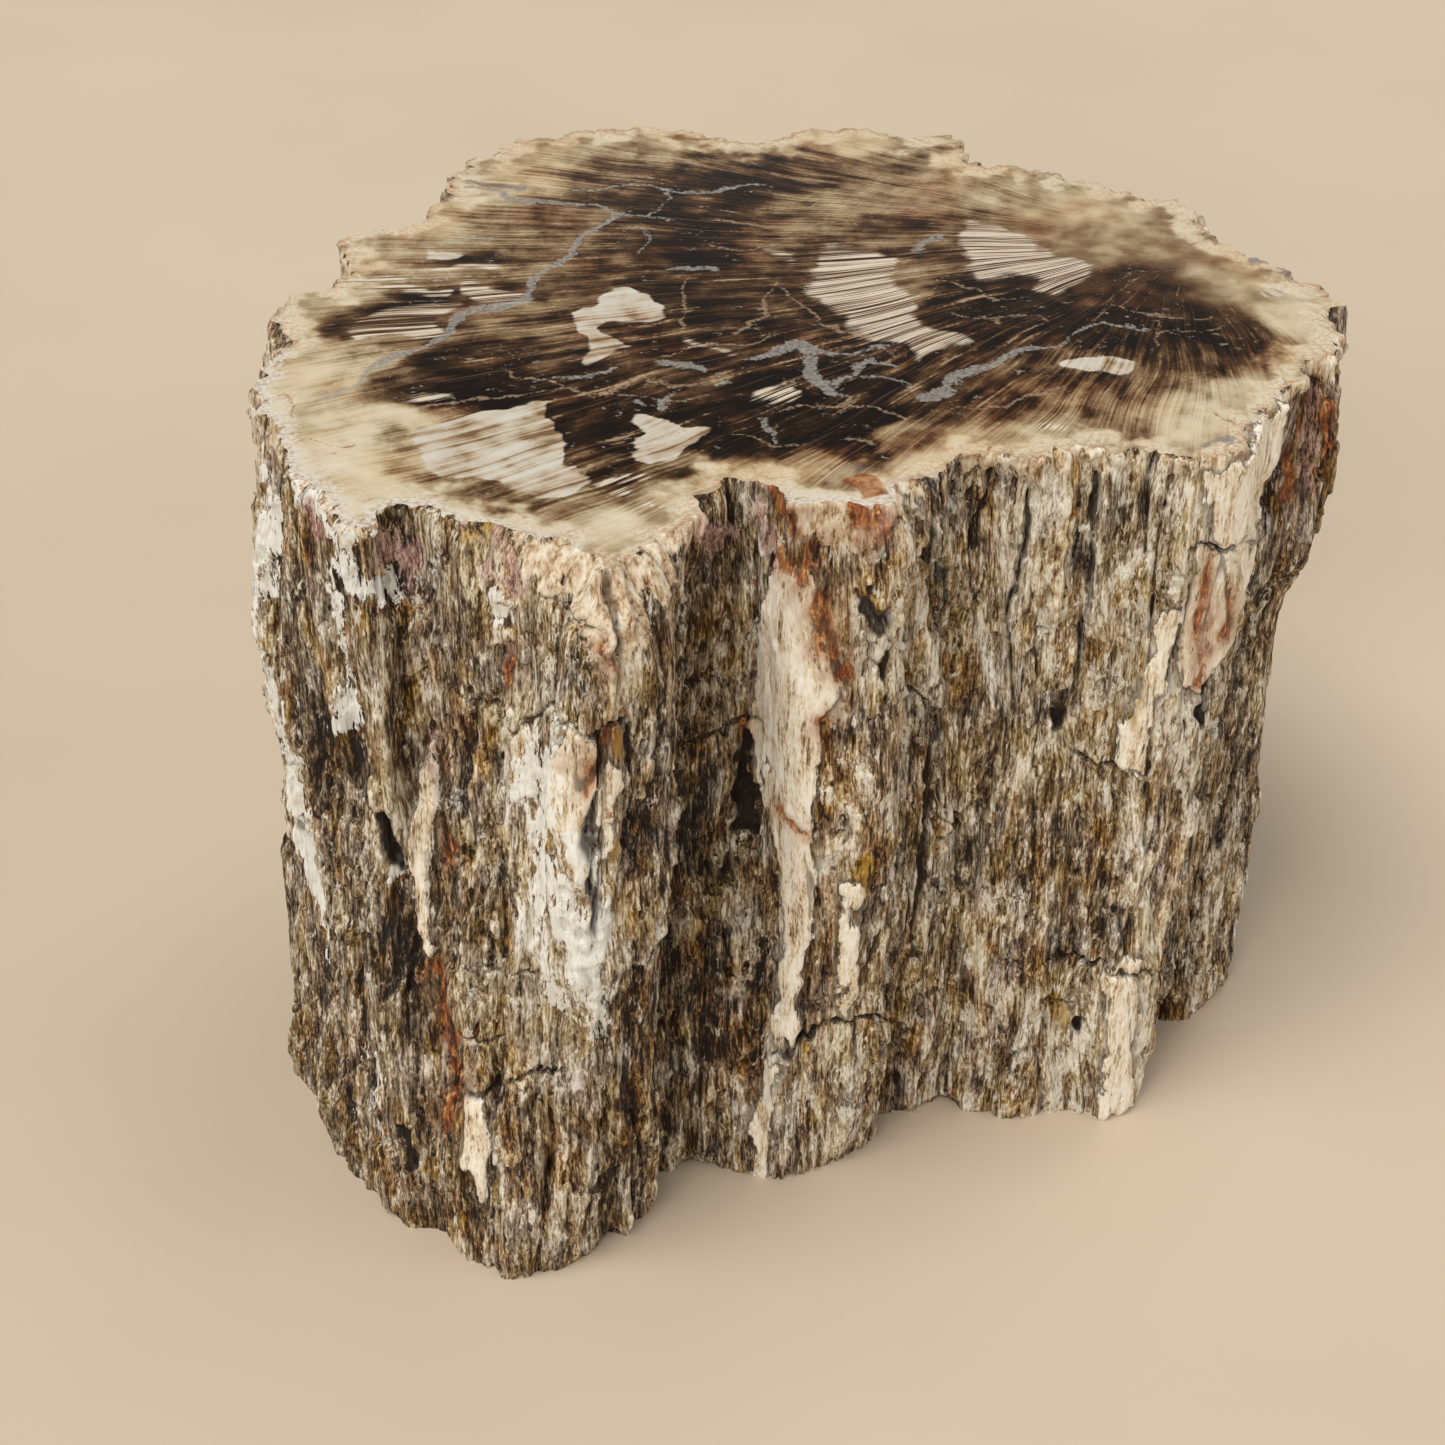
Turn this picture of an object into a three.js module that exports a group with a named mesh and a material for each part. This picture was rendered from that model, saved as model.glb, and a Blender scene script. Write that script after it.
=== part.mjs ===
// Petrified wood: a short length of fossil log, sawn square at both ends.
// The bark side is a rough, fibrous wall with deep furrows; the top is a flat polished face.
// Millimetres, +Z up, the sawn base on z = 0, the origin under the middle of the block.
import * as THREE from 'three';
import { mergeVertices } from 'three/addons/utils/BufferGeometryUtils.js';

// Driving dimensions
const height = 104;
const width = 140;
const columns = 168;
const rows = 25;
const stoneColour = 0x9a8468;
const stoneRoughness = 0.85;

// Stations run anticlockwise seen from above, from the left flank past the front.
// Each is the outline of the polished face, then the outline of the base: x, y, x, y.
const stations = [
  [-67, -18, -69, -18],
  [-63, -31, -66, -30],
  [-56, -44, -60, -41],
  [-50, -51, -53, -50],
  [-45, -48, -48, -55],
  [-38, -50, -42, -59],
  [-32, -54, -38, -61],
  [-28, -59, -34, -62],
  [-23, -64, -28, -59],
  [-19, -62, -22, -56],
  [-16, -55, -18, -51],
  [-12, -48, -14, -47],
  [-8, -43, -8, -46],
  [-2, -44, -2, -45],
  [4, -46, 4, -43],
  [10, -45, 9, -38],
  [14, -40, 13, -33],
  [19, -36, 19, -31],
  [28, -34, 28, -31],
  [36, -33, 36, -32],
  [44, -34, 43, -31],
  [51, -31, 48, -24],
  [53, -22, 52, -17],
  [60, -13, 58, -11],
  [65, -6, 62, -4],
  [67, 7, 63, 7],
  [63, 15, 61, 16],
  [59, 24, 57, 26],
  [53, 35, 52, 36],
  [44, 44, 45, 45],
  [35, 50, 36, 52],
  [26, 54, 27, 57],
  [24, 62, 19, 61],
  [15, 64, 11, 62],
  [5, 65, 3, 61],
  [-4, 61, -5, 60],
  [-14, 64, -14, 61],
  [-25, 65, -24, 62],
  [-36, 60, -36, 60],
  [-44, 53, -44, 52],
  [-47, 45, -50, 43],
  [-54, 32, -58, 31],
  [-58, 21, -63, 21],
  [-60, 11, -68, 12],
  [-66, 8, -68, 5],
  [-67, -5, -69, -6],
];

// Upright furrows between the ribs of the old trunk: the station each one follows,
// its width in stations, its depth, and the heights (0 to 1) where it starts and ends.
const furrows = [
  { at: 2.6, wide: 0.5, deep: 1.8, from: 0.1, to: 0.8 },
  { at: 4.4, wide: 0.5, deep: 1.6, from: -0.5, to: 1.5 },
  { at: 6.6, wide: 0.4, deep: 1.4, from: 0.3, to: 1.5 },
  { at: 11.3, wide: 1.0, deep: 5.0, from: -0.1, to: 0.92 },
  { at: 12.3, wide: 0.5, deep: 2.5, from: 0.2, to: 0.8 },
  { at: 15.4, wide: 0.4, deep: 2.0, from: 0.45, to: 0.85 },
  { at: 17.0, wide: 0.5, deep: 2.6, from: 0.0, to: 0.98 },
  { at: 19.5, wide: 0.5, deep: 1.2, from: 0.0, to: 0.8 },
  { at: 22.3, wide: 0.7, deep: 2.4, from: -0.5, to: 0.9 },
  { at: 25.8, wide: 0.7, deep: 2.4, from: 0.1, to: 0.7 },
  { at: 28.5, wide: 0.6, deep: 2.2, from: -0.5, to: 0.9 },
  { at: 31.6, wide: 0.7, deep: 2.4, from: -0.5, to: 1.5 },
  { at: 35.2, wide: 0.7, deep: 2.8, from: 0.1, to: 1.5 },
  { at: 38.4, wide: 0.6, deep: 2.0, from: -0.5, to: 0.8 },
  { at: 40.8, wide: 0.6, deep: 2.4, from: 0.2, to: 1.5 },
  { at: 43.6, wide: 0.6, deep: 2.2, from: -0.5, to: 0.9 },
];

// Slabs that stand proud of the wall and break off at a ledge.
const slabs = [
  { at: 14.0, wide: 1.1, proud: 1.8, from: 0.3, to: 1.5 },
  { at: 22.0, wide: 0.9, proud: 1.8, from: 0.55, to: 0.82 },
  { at: 8.2, wide: 1.2, proud: 1.4, from: 0.45, to: 0.92 },
  { at: 6.0, wide: 1.4, proud: 1.4, from: -0.5, to: 0.28 },
  { at: 30.0, wide: 1.6, proud: 1.8, from: 0.2, to: 0.75 },
  { at: 37.0, wide: 1.5, proud: 1.6, from: -0.5, to: 0.5 },
  { at: 42.0, wide: 1.2, proud: 1.6, from: 0.4, to: 1.5 },
  { at: 45.4, wide: 1.8, proud: 1.3, from: 0.16, to: 0.62 },
];

// The shoulder: near the right-hand end the upper third overhangs the wall below it.
const shoulder = { first: 22.5, last: 26.5, under: 0.64, over: 0.74 };

// Low waves all round the wall: how many go round, how deep, and how they drift with height.
const waves = [
  { count: 29, deep: 0.5, drift: 1.4, sway: 1.5 },
  { count: 17, deep: 0.5, drift: 2.1, sway: 2.5 },
  { count: 3, deep: 0.7, drift: 5, sway: 0 },
];

// Ledges and slab ends fade over this share of the height; the shoulder fades in
// over this many stations at each side.
const ledgeFade = 0.03;
const shoulderFade = 0.8;

const topCurve = new THREE.CatmullRomCurve3(
  stations.map(([x, y]) => new THREE.Vector3(x, y, height)), true, 'centripetal');
const baseCurve = new THREE.CatmullRomCurve3(
  stations.map(([, , x, y]) => new THREE.Vector3(x, y, 0)), true, 'centripetal');

// Distance around the block from one station to another, the short way.
function stationsApart(a, b) {
  const gap = Math.abs(a - b) % stations.length;
  return Math.min(gap, stations.length - gap);
}

// One between two values and nothing outside them, with soft ends.
function band(value, from, to, fade) {
  const rise = THREE.MathUtils.smoothstep(value, from - fade, from + fade);
  const fall = THREE.MathUtils.smoothstep(value, to - fade, to + fade);
  return rise * (1 - fall);
}

function bump(feature, station, level) {
  const side = stationsApart(station, feature.at) / feature.wide;
  return Math.exp(-side * side) * band(level, feature.from, feature.to, ledgeFade);
}

// How far the wall stands out from the straight loft at a station and a height.
function relief(station, level) {
  const around = 2 * Math.PI * station / stations.length;
  let out = 0;
  for (const wave of waves) {
    const sway = wave.sway * Math.sin(2 * around);
    out += wave.deep * Math.sin(wave.count * around + wave.drift * level + sway);
  }
  for (const furrow of furrows) {
    out -= furrow.deep * bump(furrow, station, level);
  }
  for (const slab of slabs) {
    out += slab.proud * bump(slab, station, level);
  }
  return out;
}

// Blend from the base outline to the top outline: straight, except under the shoulder.
function blend(station, level) {
  const inside = band(station, shoulder.first, shoulder.last, shoulderFade);
  const step = THREE.MathUtils.smoothstep(level, shoulder.under, shoulder.over);
  return THREE.MathUtils.lerp(level, step, inside);
}

function wallPoint(turn, level) {
  const station = turn * stations.length;
  const top = topCurve.getPoint(turn);
  const base = baseCurve.getPoint(turn);
  const along = topCurve.getTangent(turn).add(baseCurve.getTangent(turn)).setZ(0).normalize();
  const point = new THREE.Vector3().lerpVectors(base, top, blend(station, level));
  const out = relief(station, level);
  point.x += along.y * out;
  point.y -= along.x * out;
  point.z = height * level;
  return point;
}

// A closed drum gives the mesh; every vertex is moved to its place on the block.
function stoneGeometry() {
  const drum = new THREE.CylinderGeometry(1, 1, 1, columns, rows);
  drum.rotateX(Math.PI / 2);
  drum.deleteAttribute('normal');
  drum.deleteAttribute('uv');
  const position = drum.attributes.position;
  const vertex = new THREE.Vector3();
  for (let i = 0; i < position.count; i += 1) {
    vertex.fromBufferAttribute(position, i);
    const level = Math.round((vertex.z + 0.5) * rows) / rows;
    const column = Math.round(Math.atan2(vertex.y, vertex.x) / (2 * Math.PI) * columns);
    const turn = ((column + columns) % columns) / columns;
    if (Math.hypot(vertex.x, vertex.y) < 0.5) {
      vertex.set(0, 0, height * level);
    } else {
      vertex.copy(wallPoint(turn, level));
    }
    position.setXYZ(i, vertex.x, vertex.y, vertex.z);
  }
  const stone = mergeVertices(drum);
  stone.computeBoundingBox();
  const size = stone.boundingBox.getSize(new THREE.Vector3());
  const middle = stone.boundingBox.getCenter(new THREE.Vector3());
  stone.translate(-middle.x, -middle.y, 0);
  const fit = width / size.x;
  stone.scale(fit, fit, 1);
  stone.computeVertexNormals();
  return stone;
}

const material = new THREE.MeshStandardMaterial({
  color: stoneColour,
  roughness: stoneRoughness,
  metalness: 0,
});

const stone = new THREE.Mesh(stoneGeometry(), material);
stone.name = 'petrified_wood';

const part = new THREE.Group();
part.add(stone);
export default part;
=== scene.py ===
"""A block of petrified wood on a plain floor: fine surface, materials, light and camera."""

import math

import bpy
import numpy as np
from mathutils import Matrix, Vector
from mathutils.geometry import delaunay_2d_cdt


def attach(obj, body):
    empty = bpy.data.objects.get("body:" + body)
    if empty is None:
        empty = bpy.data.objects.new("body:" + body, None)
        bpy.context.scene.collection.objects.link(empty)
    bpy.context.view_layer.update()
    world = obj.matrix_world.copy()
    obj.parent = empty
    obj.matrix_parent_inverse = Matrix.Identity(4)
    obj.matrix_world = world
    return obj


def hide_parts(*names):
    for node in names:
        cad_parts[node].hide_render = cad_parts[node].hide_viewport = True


MM = 0.001
NODE = "petrified_wood"

# How fine the surface is: columns round the wall and rows up it.
COLUMNS = 1440
ROWS = 360
FACE_STEP = 0.45  # mm between points of the polished face
BASE_STEP = 3.0  # mm between points of the base
FAR = 4.0  # mm: how far a mark's depth is followed on either side of its edge
TURN = 40.0  # mm: places on the wall are counted from this far before the left flank

# How deep the finest relief is, in metres: the bump of each material.
WALL_BUMP = 0.0004
FACE_BUMP = 0.00012
FLOOR_BUMP = 0.0001

# How far up and down the wall its wear and chips reach, in mm.
WORN_EDGES = 2.5
WORN_FOOT = 9.0
CHIPPED_RIM = 1.4
CHIPPED_FOOT = 2.0

# The camera, in mm in the row frame: where it stands, how far it looks down, its lens.
CAMERA_PLACE = (-8.5, -327.3, 260.0)
CAMERA_DOWN = 33.5
CAMERA_LENS = 70.7

# The heart of the old trunk, which the rays in the polished face run out from, in mm.
PITH = (54.0, 24.0)

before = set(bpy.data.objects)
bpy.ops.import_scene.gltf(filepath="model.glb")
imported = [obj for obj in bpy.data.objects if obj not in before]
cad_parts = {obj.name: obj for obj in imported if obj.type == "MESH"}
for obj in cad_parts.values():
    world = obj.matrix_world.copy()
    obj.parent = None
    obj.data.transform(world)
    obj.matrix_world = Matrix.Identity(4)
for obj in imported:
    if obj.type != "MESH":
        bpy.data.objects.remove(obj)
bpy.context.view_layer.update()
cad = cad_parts[NODE]


# ---------------------------------------------------------------- the CAD wall, resampled

def cad_rings(mesh):
    """The CAD wall as rings of points, lowest first, in mm: [ring, column, xyz]."""
    spots = np.empty(len(mesh.vertices) * 3)
    mesh.vertices.foreach_get("co", spots)
    corners = np.empty(len(mesh.loops), dtype=np.int64)
    mesh.loops.foreach_get("vertex_index", corners)
    # The CAD mesh repeats each point in every triangle: here each is kept once.
    points, same = np.unique(np.round(spots.reshape(-1, 3) / MM, 3), axis=0, return_inverse=True)
    faces = same.reshape(-1)[corners].reshape(-1, 3)
    level = np.round(points[:, 2], 2)
    # The level edges of the wall's triangles join each ring's points.
    beside = {}
    for face in faces[np.ptp(level[faces], axis=1) > 0]:
        for a, b in zip(face, np.roll(face, -1)):
            if level[a] == level[b]:
                beside.setdefault(a, []).append(b)
                beside.setdefault(b, []).append(a)
    rings = []
    for height in np.unique(level):
        first = min((i for i in beside if level[i] == height), key=lambda i: points[i, 0])
        ring, last, here = [first], None, first
        while True:
            onward = [i for i in beside[here] if i != last][0]
            if onward == first:
                break
            ring.append(onward)
            last, here = here, onward
        rings.append(one_way_round(points[ring]))
    # Each ring starts where it is nearest to the one below.
    lined_up = [rings[0]]
    for ring in rings[1:]:
        turns = [np.roll(ring, k, axis=0) for k in range(len(ring))]
        lined_up.append(min(turns, key=lambda turn: np.sum((turn - lined_up[-1])[:, :2] ** 2)))
    return np.array(lined_up)


def one_way_round(ring):
    """The ring, anticlockwise seen from above."""
    x, y = ring[:, 0], ring[:, 1]
    area = np.sum(x * np.roll(y, -1) - np.roll(x, -1) * y)
    return ring if area > 0 else ring[::-1]


def cubic(values, at, closed):
    """Values read between their places along the first axis, on a smooth curve through them."""
    count = len(values)
    low = np.floor(at).astype(int)
    t = (at - low).reshape((-1,) + (1,) * (values.ndim - 1))

    def pick(i):
        return values[i % count] if closed else values[np.clip(i, 0, count - 1)]

    a, b, c, d = pick(low - 1), pick(low), pick(low + 1), pick(low + 2)
    return b + 0.5 * t * ((c - a) + t * ((2 * a - 5 * b + 4 * c - d) + t * (3 * (b - c) + d - a)))


def resampled(rings):
    """The wall as a fine grid [row, column, xyz] in mm, and the length once round it."""
    closed = np.concatenate([rings, rings[:, :1]], axis=1)
    steps = np.linalg.norm(np.diff(closed, axis=1)[..., :2], axis=2).mean(axis=0)
    along = np.concatenate([[0], np.cumsum(steps)])
    at = np.interp(np.arange(COLUMNS) * along[-1] / COLUMNS, along, np.arange(len(along)))
    grid = cubic(np.swapaxes(rings, 0, 1), at, closed=True)
    levels = np.linspace(0, len(rings) - 1, ROWS)
    return cubic(np.swapaxes(grid, 0, 1), levels, closed=False), along[-1]


wall, GIRTH = resampled(cad_rings(cad.data))
HEIGHT = wall[-1, 0, 2]
COLUMN_STEP = GIRTH / COLUMNS
ROW_STEP = HEIGHT / (ROWS - 1)
around = (np.arange(COLUMNS) * COLUMN_STEP + TURN) % GIRTH - TURN
up = np.linspace(0, HEIGHT, ROWS)[:, None]


# ---------------------------------------------------------------- random relief

def smooth(value, low, high):
    """A smooth step from 0 at low to 1 at high."""
    t = np.clip((value - low) / (high - low), 0, 1)
    return t * t * (3 - 2 * t)


def soften(field, wide, tall):
    """The field, blurred over wide by tall mm of wall."""
    across = np.fft.rfftfreq(COLUMNS, COLUMN_STEP)[None] * wide
    upward = np.fft.fftfreq(2 * ROWS, ROW_STEP)[:, None] * tall
    keep = np.exp(-1.2 * (across ** 2 + upward ** 2))
    # The wall closes on itself round the block, but not up and down, so there it is mirrored.
    mirrored = np.concatenate([field, field[::-1]])
    return np.fft.irfft2(np.fft.rfft2(mirrored) * keep, s=mirrored.shape)[:ROWS]


def grain(seed, wide, tall):
    """Random relief over the unrolled wall, with features wide by tall mm and a spread of 1."""
    field = soften(np.random.default_rng(seed).standard_normal((ROWS, COLUMNS)), wide, tall)
    return (field - field.mean()) / field.std()


def bent(field, aside, upward):
    """The field read at places moved aside and upward, in mm, so that its grain wanders."""
    column = np.arange(COLUMNS)[None] + aside / COLUMN_STEP
    row = np.clip(np.arange(ROWS)[:, None] + upward / ROW_STEP, 0, ROWS - 1.001)
    left = np.floor(column).astype(int)
    low = np.floor(row).astype(int)
    s, t = column - left, row - low
    right = (left + 1) % COLUMNS
    left = left % COLUMNS
    bottom = field[low, left] * (1 - s) + field[low, right] * s
    top = field[low + 1, left] * (1 - s) + field[low + 1, right] * s
    return bottom * (1 - t) + top * t


# ---------------------------------------------------------------- marks drawn one by one

def outline_depth(points, corners):
    """How deep each point lies inside a closed outline, in mm; less than nothing outside."""
    corners = np.array(corners, dtype=float)
    nearest = np.full(len(points), np.inf)
    inside = np.zeros(len(points), dtype=bool)
    x, y = points.T
    for (ax, ay), (bx, by) in zip(corners, np.roll(corners, -1, axis=0)):
        run, rise = bx - ax, by - ay
        t = np.clip(((x - ax) * run + (y - ay) * rise) / (run * run + rise * rise), 0, 1)
        nearest = np.minimum(nearest, np.hypot(x - ax - t * run, y - ay - t * rise))
        if ay != by:
            inside ^= ((ay > y) != (by > y)) & (x < run * (y - ay) / rise + ax)
    return np.where(inside, nearest, -nearest)


def streak_depth(points, path):
    """How deep each point lies inside a line of changing half-width: (place, place, half-width)."""
    x, y = points.T
    depth = np.full(len(points), -np.inf)
    path = [path[0], *path] if len(path) == 1 else path
    for (ax, ay, aw), (bx, by, bw) in zip(path, path[1:]):
        run, rise = bx - ax, by - ay
        length = max(run * run + rise * rise, 1e-9)
        t = np.clip(((x - ax) * run + (y - ay) * rise) / length, 0, 1)
        away = np.hypot(x - ax - t * run, y - ay - t * rise)
        depth = np.maximum(depth, aw + (bw - aw) * t - away)
    return depth


def mark_depths(points, outlines, streaks):
    """For each name, how deep every point lies inside the marks of that name, in mm."""
    depths = {}
    for depth_of, named in ((outline_depth, outlines), (streak_depth, streaks)):
        for name, shapes in named.items():
            depth = depths.setdefault(name, np.full(len(points), -FAR))
            for corners in shapes:
                places = np.array([corner[:2] for corner in corners], dtype=float)
                reach = FAR + max((corner[2] for corner in corners if len(corner) > 2), default=0)
                near = np.all((points > places.min(axis=0) - reach)
                              & (points < places.max(axis=0) + reach), axis=1)
                depth[near] = np.maximum(depth[near], depth_of(points[near], corners))
    return {name: np.minimum(depth, FAR) for name, depth in depths.items()}


# Outlines on the wall: (mm round it from the left flank, mm up it) for each corner.
WALL_OUTLINES = {
    # Smooth pale slabs, where the old bark flaked off.
    "slab": [
        [(103.5, 97), (101, 88), (99.5, 79), (99, 70.5), (101.5, 66), (102.5, 60), (108, 61),
         (109, 68), (109, 76), (111.5, 81), (109.5, 85), (108.5, 92), (107, 97)],
        [(162, 90), (172, 88), (181, 83), (182, 76), (170, 74), (168, 70), (164, 70), (161.5, 80)],
        [(163, 103), (183, 103), (185, 84), (176, 87), (166, 90)],
    ],
}

# Lines on the wall: (mm round it, mm up it, half-width) for each point.
WALL_STREAKS = {
    # The same slabs, where they run out in narrow tongues, and smaller ones.
    "slab": [
        [(105.5, 60, 2.8), (106.5, 50, 2.2), (106, 40, 1.6), (106, 31, 1.5), (106, 27, 1.2)],
        [(113, 50, 1.0), (113, 40, 1.5), (113, 30, 1.2)],
        [(104, 21, 1.4), (102, 11, 1.8), (100, 1, 1.8)],
        [(160, 80, 1.6), (159.5, 71, 1.8), (158, 65, 1.6), (158, 59, 1.6)],
        [(42, 74, 0.8), (41.5, 67, 1.8), (40.5, 61, 1.8), (39.5, 53, 1.4), (40, 46, 1.0)],
        [(64, 85, 1.6), (63.5, 76, 2.2), (65, 66, 1.2)],
        [(67.5, 79, 1.5), (67.5, 70, 1.0)],
        [(160, 26, 1.8), (161, 14, 2.4), (162.5, 2, 2.4)],
        [(49, 27, 1.4), (50, 20, 2.2), (51, 14, 1.2)],
        [(238, 86, 1.4), (237, 73, 2.4), (239, 58, 1.6)],
        [(292, 48, 1.2), (294, 34, 2.6), (293, 18, 1.8)],
        [(342, 94, 1.6), (344, 79, 2.8), (343, 64, 1.4)],
        [(-22, 42, 1.2), (-24, 26, 1.8)],
    ],
    # Chalky white crust.
    "crust": [
        [(3.5, 96, 1.6), (5, 91, 1.8), (2.5, 79, 2.4), (3, 68, 3.6), (3, 58, 4.4), (6, 49, 6.0),
         (11, 38, 3.6), (16, 31, 1.2)],
        [(19, 103, 1.6), (27, 102.5, 1.8), (30.5, 100, 1.8), (32.5, 95.5, 1.8), (38, 93.5, 1.4)],
        [(27, 103.5, 1.0), (40, 104, 0.9), (47, 104, 0.8)],
        [(27.5, 93, 1.0), (28.5, 84, 1.6), (26, 72, 1.0)],
        [(57, 80, 1.0), (55, 73, 1.6), (62, 66, 1.6), (66, 52, 2.2), (69.5, 37, 0.8)],
        [(59, 75, 2.4), (58, 58, 1.6), (62, 44, 1.4)],
        [(61, 84, 0.9), (61.5, 76, 1.2), (66.5, 66, 1.4), (67.5, 56, 1.6)],
        [(36, 55.5, 1.0), (36.2, 54.5, 0.9)],
        [(33, 22, 1.5), (33.5, 20.5, 1.2)],
        [(52, 96.5, 1.4), (55, 96, 0.9)],
        [(104, 97, 1.0), (100, 95, 0.8)],
        [(262, 99, 1.2), (264, 88, 2.2), (262, 74, 1.0)],
        [(316, 72, 1.2), (318, 58, 2.4), (317, 42, 1.2)],
        [(372, 62, 1.0), (374, 47, 2.0)],
        [(215, 32, 1.4), (217, 18, 1.8)],
    ],
    # Rust, from orange to a dark red brown.
    "rust": [
        [(108, 100, 0.9), (107, 94, 0.7), (109.5, 90.5, 0.8), (110, 86, 1.1), (111, 82.5, 0.4)],
        [(109.5, 77, 0.5), (109.2, 75, 0.5)],
        [(98, 71, 0.5), (98.3, 68.5, 0.6)],
        [(104.5, 60, 0.5), (107, 59.3, 0.5)],
        [(68, 85.5, 0.9), (66.5, 83, 0.9), (64.5, 79, 0.6)],
        [(44.5, 62, 1.2), (44.5, 57, 1.5)],
        [(67.5, 95, 0.7), (68.5, 93.5, 0.5)],
        [(53, 90.5, 0.5), (53, 88, 0.4)],
        [(41, 42, 1.2), (42.5, 36, 2.2), (45.5, 30, 1.9)],
        [(45, 27, 1.2), (43.5, 21, 2.0)],
        [(164.5, 88, 0.4), (165, 79, 0.8), (167.5, 72, 0.6)],
        [(169.3, 83, 0.3), (169.5, 77, 0.5)],
        [(171, 7, 1.6), (175, 3, 1.6), (179, 2, 1.4)],
        [(188.5, 102, 1.0), (189.5, 92, 1.0), (190, 86, 0.5)],
        [(194, 98, 0.9), (195, 87, 0.9)],
        [(114, 103.5, 1.4), (115, 100.5, 0.8)],
        [(101, 103.5, 2.2), (106, 102, 1.6)],
        [(103.5, 95.5, 1.4), (106, 97, 1.0)],
        [(122, 24.5, 0.6), (124, 22, 0.5)],
        [(250, 68, 0.8), (251, 56, 1.3)],
        [(305, 90, 0.6), (306, 78, 1.0)],
        [(352, 31, 0.8), (353, 21, 1.1)],
    ],
    # Pits and cracks.
    "pit": [
        [(99, 68, 1.2), (98.5, 61, 1.8), (98.5, 53, 1.2)],
        [(114, 93.5, 0.3), (114.3, 86, 0.5)],
        [(114.5, 84, 0.3), (114.8, 77, 0.6)],
        [(168.3, 71, 0.9), (168, 65, 0.8)],
        [(35.5, 63.5, 0.7), (36.5, 59, 1.0), (37, 55, 0.8)],
        [(37, 16, 1.2), (37.5, 13.5, 1.4)],
        [(154.7, 16, 0.9), (155, 12.5, 0.8)],
        [(149, 68, 0.5), (149, 64, 0.5)],
    ],
    "crack": [
        [(129, 100, 0.4), (130, 91, 0.6), (131, 83, 0.6), (130, 68, 0.8), (130.5, 57, 1.0),
         (130, 42, 0.9), (129.5, 30, 0.5)],
        [(126.5, 103, 0.3), (127.5, 90, 0.5), (127, 80, 0.3)],
        [(44.5, 82.5, 0.2), (52, 81.5, 0.25), (55, 81.5, 0.3), (61, 85, 0.3), (70, 86.5, 0.3)],
        [(44, 27.5, 0.3), (52, 28.5, 0.35), (62.5, 33.5, 0.25)],
        [(151.5, 60, 0.2), (154, 59.5, 0.25), (157, 58.5, 0.3), (160, 58.5, 0.3)],
        [(150, 27.5, 0.25), (158, 26.5, 0.3), (170, 20, 0.3)],
        [(104.5, 25, 0.4), (110, 27, 0.4), (116, 28, 0.3), (124, 22, 0.3)],
        [(161.5, 90.5, 0.25), (172, 89, 0.3), (182, 84, 0.3)],
        [(66, 86, 0.2), (65.8, 70, 0.25), (66, 55, 0.2)],
        [(70.5, 85, 0.25), (71, 74, 0.2)],
        [(162, 88, 0.2), (162.3, 76, 0.25), (161, 70, 0.2)],
        [(157, 103, 0.2), (157.5, 90, 0.25)], [(151, 100, 0.25), (150.5, 72, 0.2)],
        [(142, 103, 0.2), (141, 80, 0.3), (142, 66, 0.2)], [(136, 101, 0.3), (136.5, 78, 0.2)],
        [(120, 58, 0.2), (121, 40, 0.3), (120.5, 30, 0.2)],
        [(226, 98, 0.3), (228, 70, 0.6), (227, 44, 0.4)],
        [(276, 90, 0.3), (278, 60, 0.6), (277, 30, 0.3)],
        [(330, 96, 0.3), (331, 64, 0.6), (330, 36, 0.4)],
        [(382, 88, 0.3), (381, 56, 0.5)],
        [(240, 50, 0.2), (258, 47, 0.35), (276, 51, 0.2)],
        [(300, 62, 0.2), (318, 58, 0.35), (334, 63, 0.2)],
    ],
    # Pink and mustard tints, and the cream rind below the rim.
    "pink": [
        [(23, 101.5, 1.6), (25, 99.5, 1.2)], [(36, 98.5, 1.6), (40, 96.5, 1.2)],
        [(49.5, 103, 1.2), (52, 101, 1.4), (54.5, 99.5, 1.0)], [(51, 98, 1.0), (55, 98, 0.8)],
        [(88, 103, 2.0), (92, 101, 2.2), (95, 96, 1.8)], [(100, 98, 1.6), (102, 95, 1.2)],
        [(115, 102.5, 1.6), (117, 100.5, 1.2)], [(192, 100, 1.0), (192.5, 86, 0.9)],
        [(165, 84, 1.0), (166.5, 74, 1.2)], [(41.5, 75, 0.9), (42, 70, 0.9)],
        [(52.5, 92, 0.6), (53.2, 86, 0.6)],
    ],
    "mustard": [
        [(152, 20, 0.7), (152, 16, 0.9)], [(69, 86, 0.8), (69, 83, 0.9)], [(69, 72, 0.7), (68.5, 69, 0.7)],
        [(104, 99, 1.2), (106, 96, 1.0)], [(158.3, 72, 0.4), (157, 66, 0.4)],
        [(114.5, 55, 0.4), (114.3, 49, 0.5)], [(197, 84, 0.8), (196, 76, 0.9)],
        [(48.5, 102.5, 0.8), (50, 100.5, 0.6)],
    ],
    "rind": [
        [(-6, 104, 1.6), (10, 104, 1.4), (22, 104, 2.2), (36, 104, 0.8), (50, 104, 0.8), (57, 103.5, 2.6),
         (63, 102, 4.2), (68, 100, 5.0), (75, 102, 4.4), (83, 104, 3.0), (90, 104, 0.8)],
        [(107, 104, 2.4), (112, 103.5, 4.0), (118, 103.5, 3.4), (124, 104, 1.6), (132, 104, 1.4),
         (158, 104, 0.9), (168, 104, 2.0), (184, 104, 1.4), (198, 104, 1.2)],
        [(198, 104, 1.2), (300, 104, 1.4), (398, 104, 1.2)],
    ],
}


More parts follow.
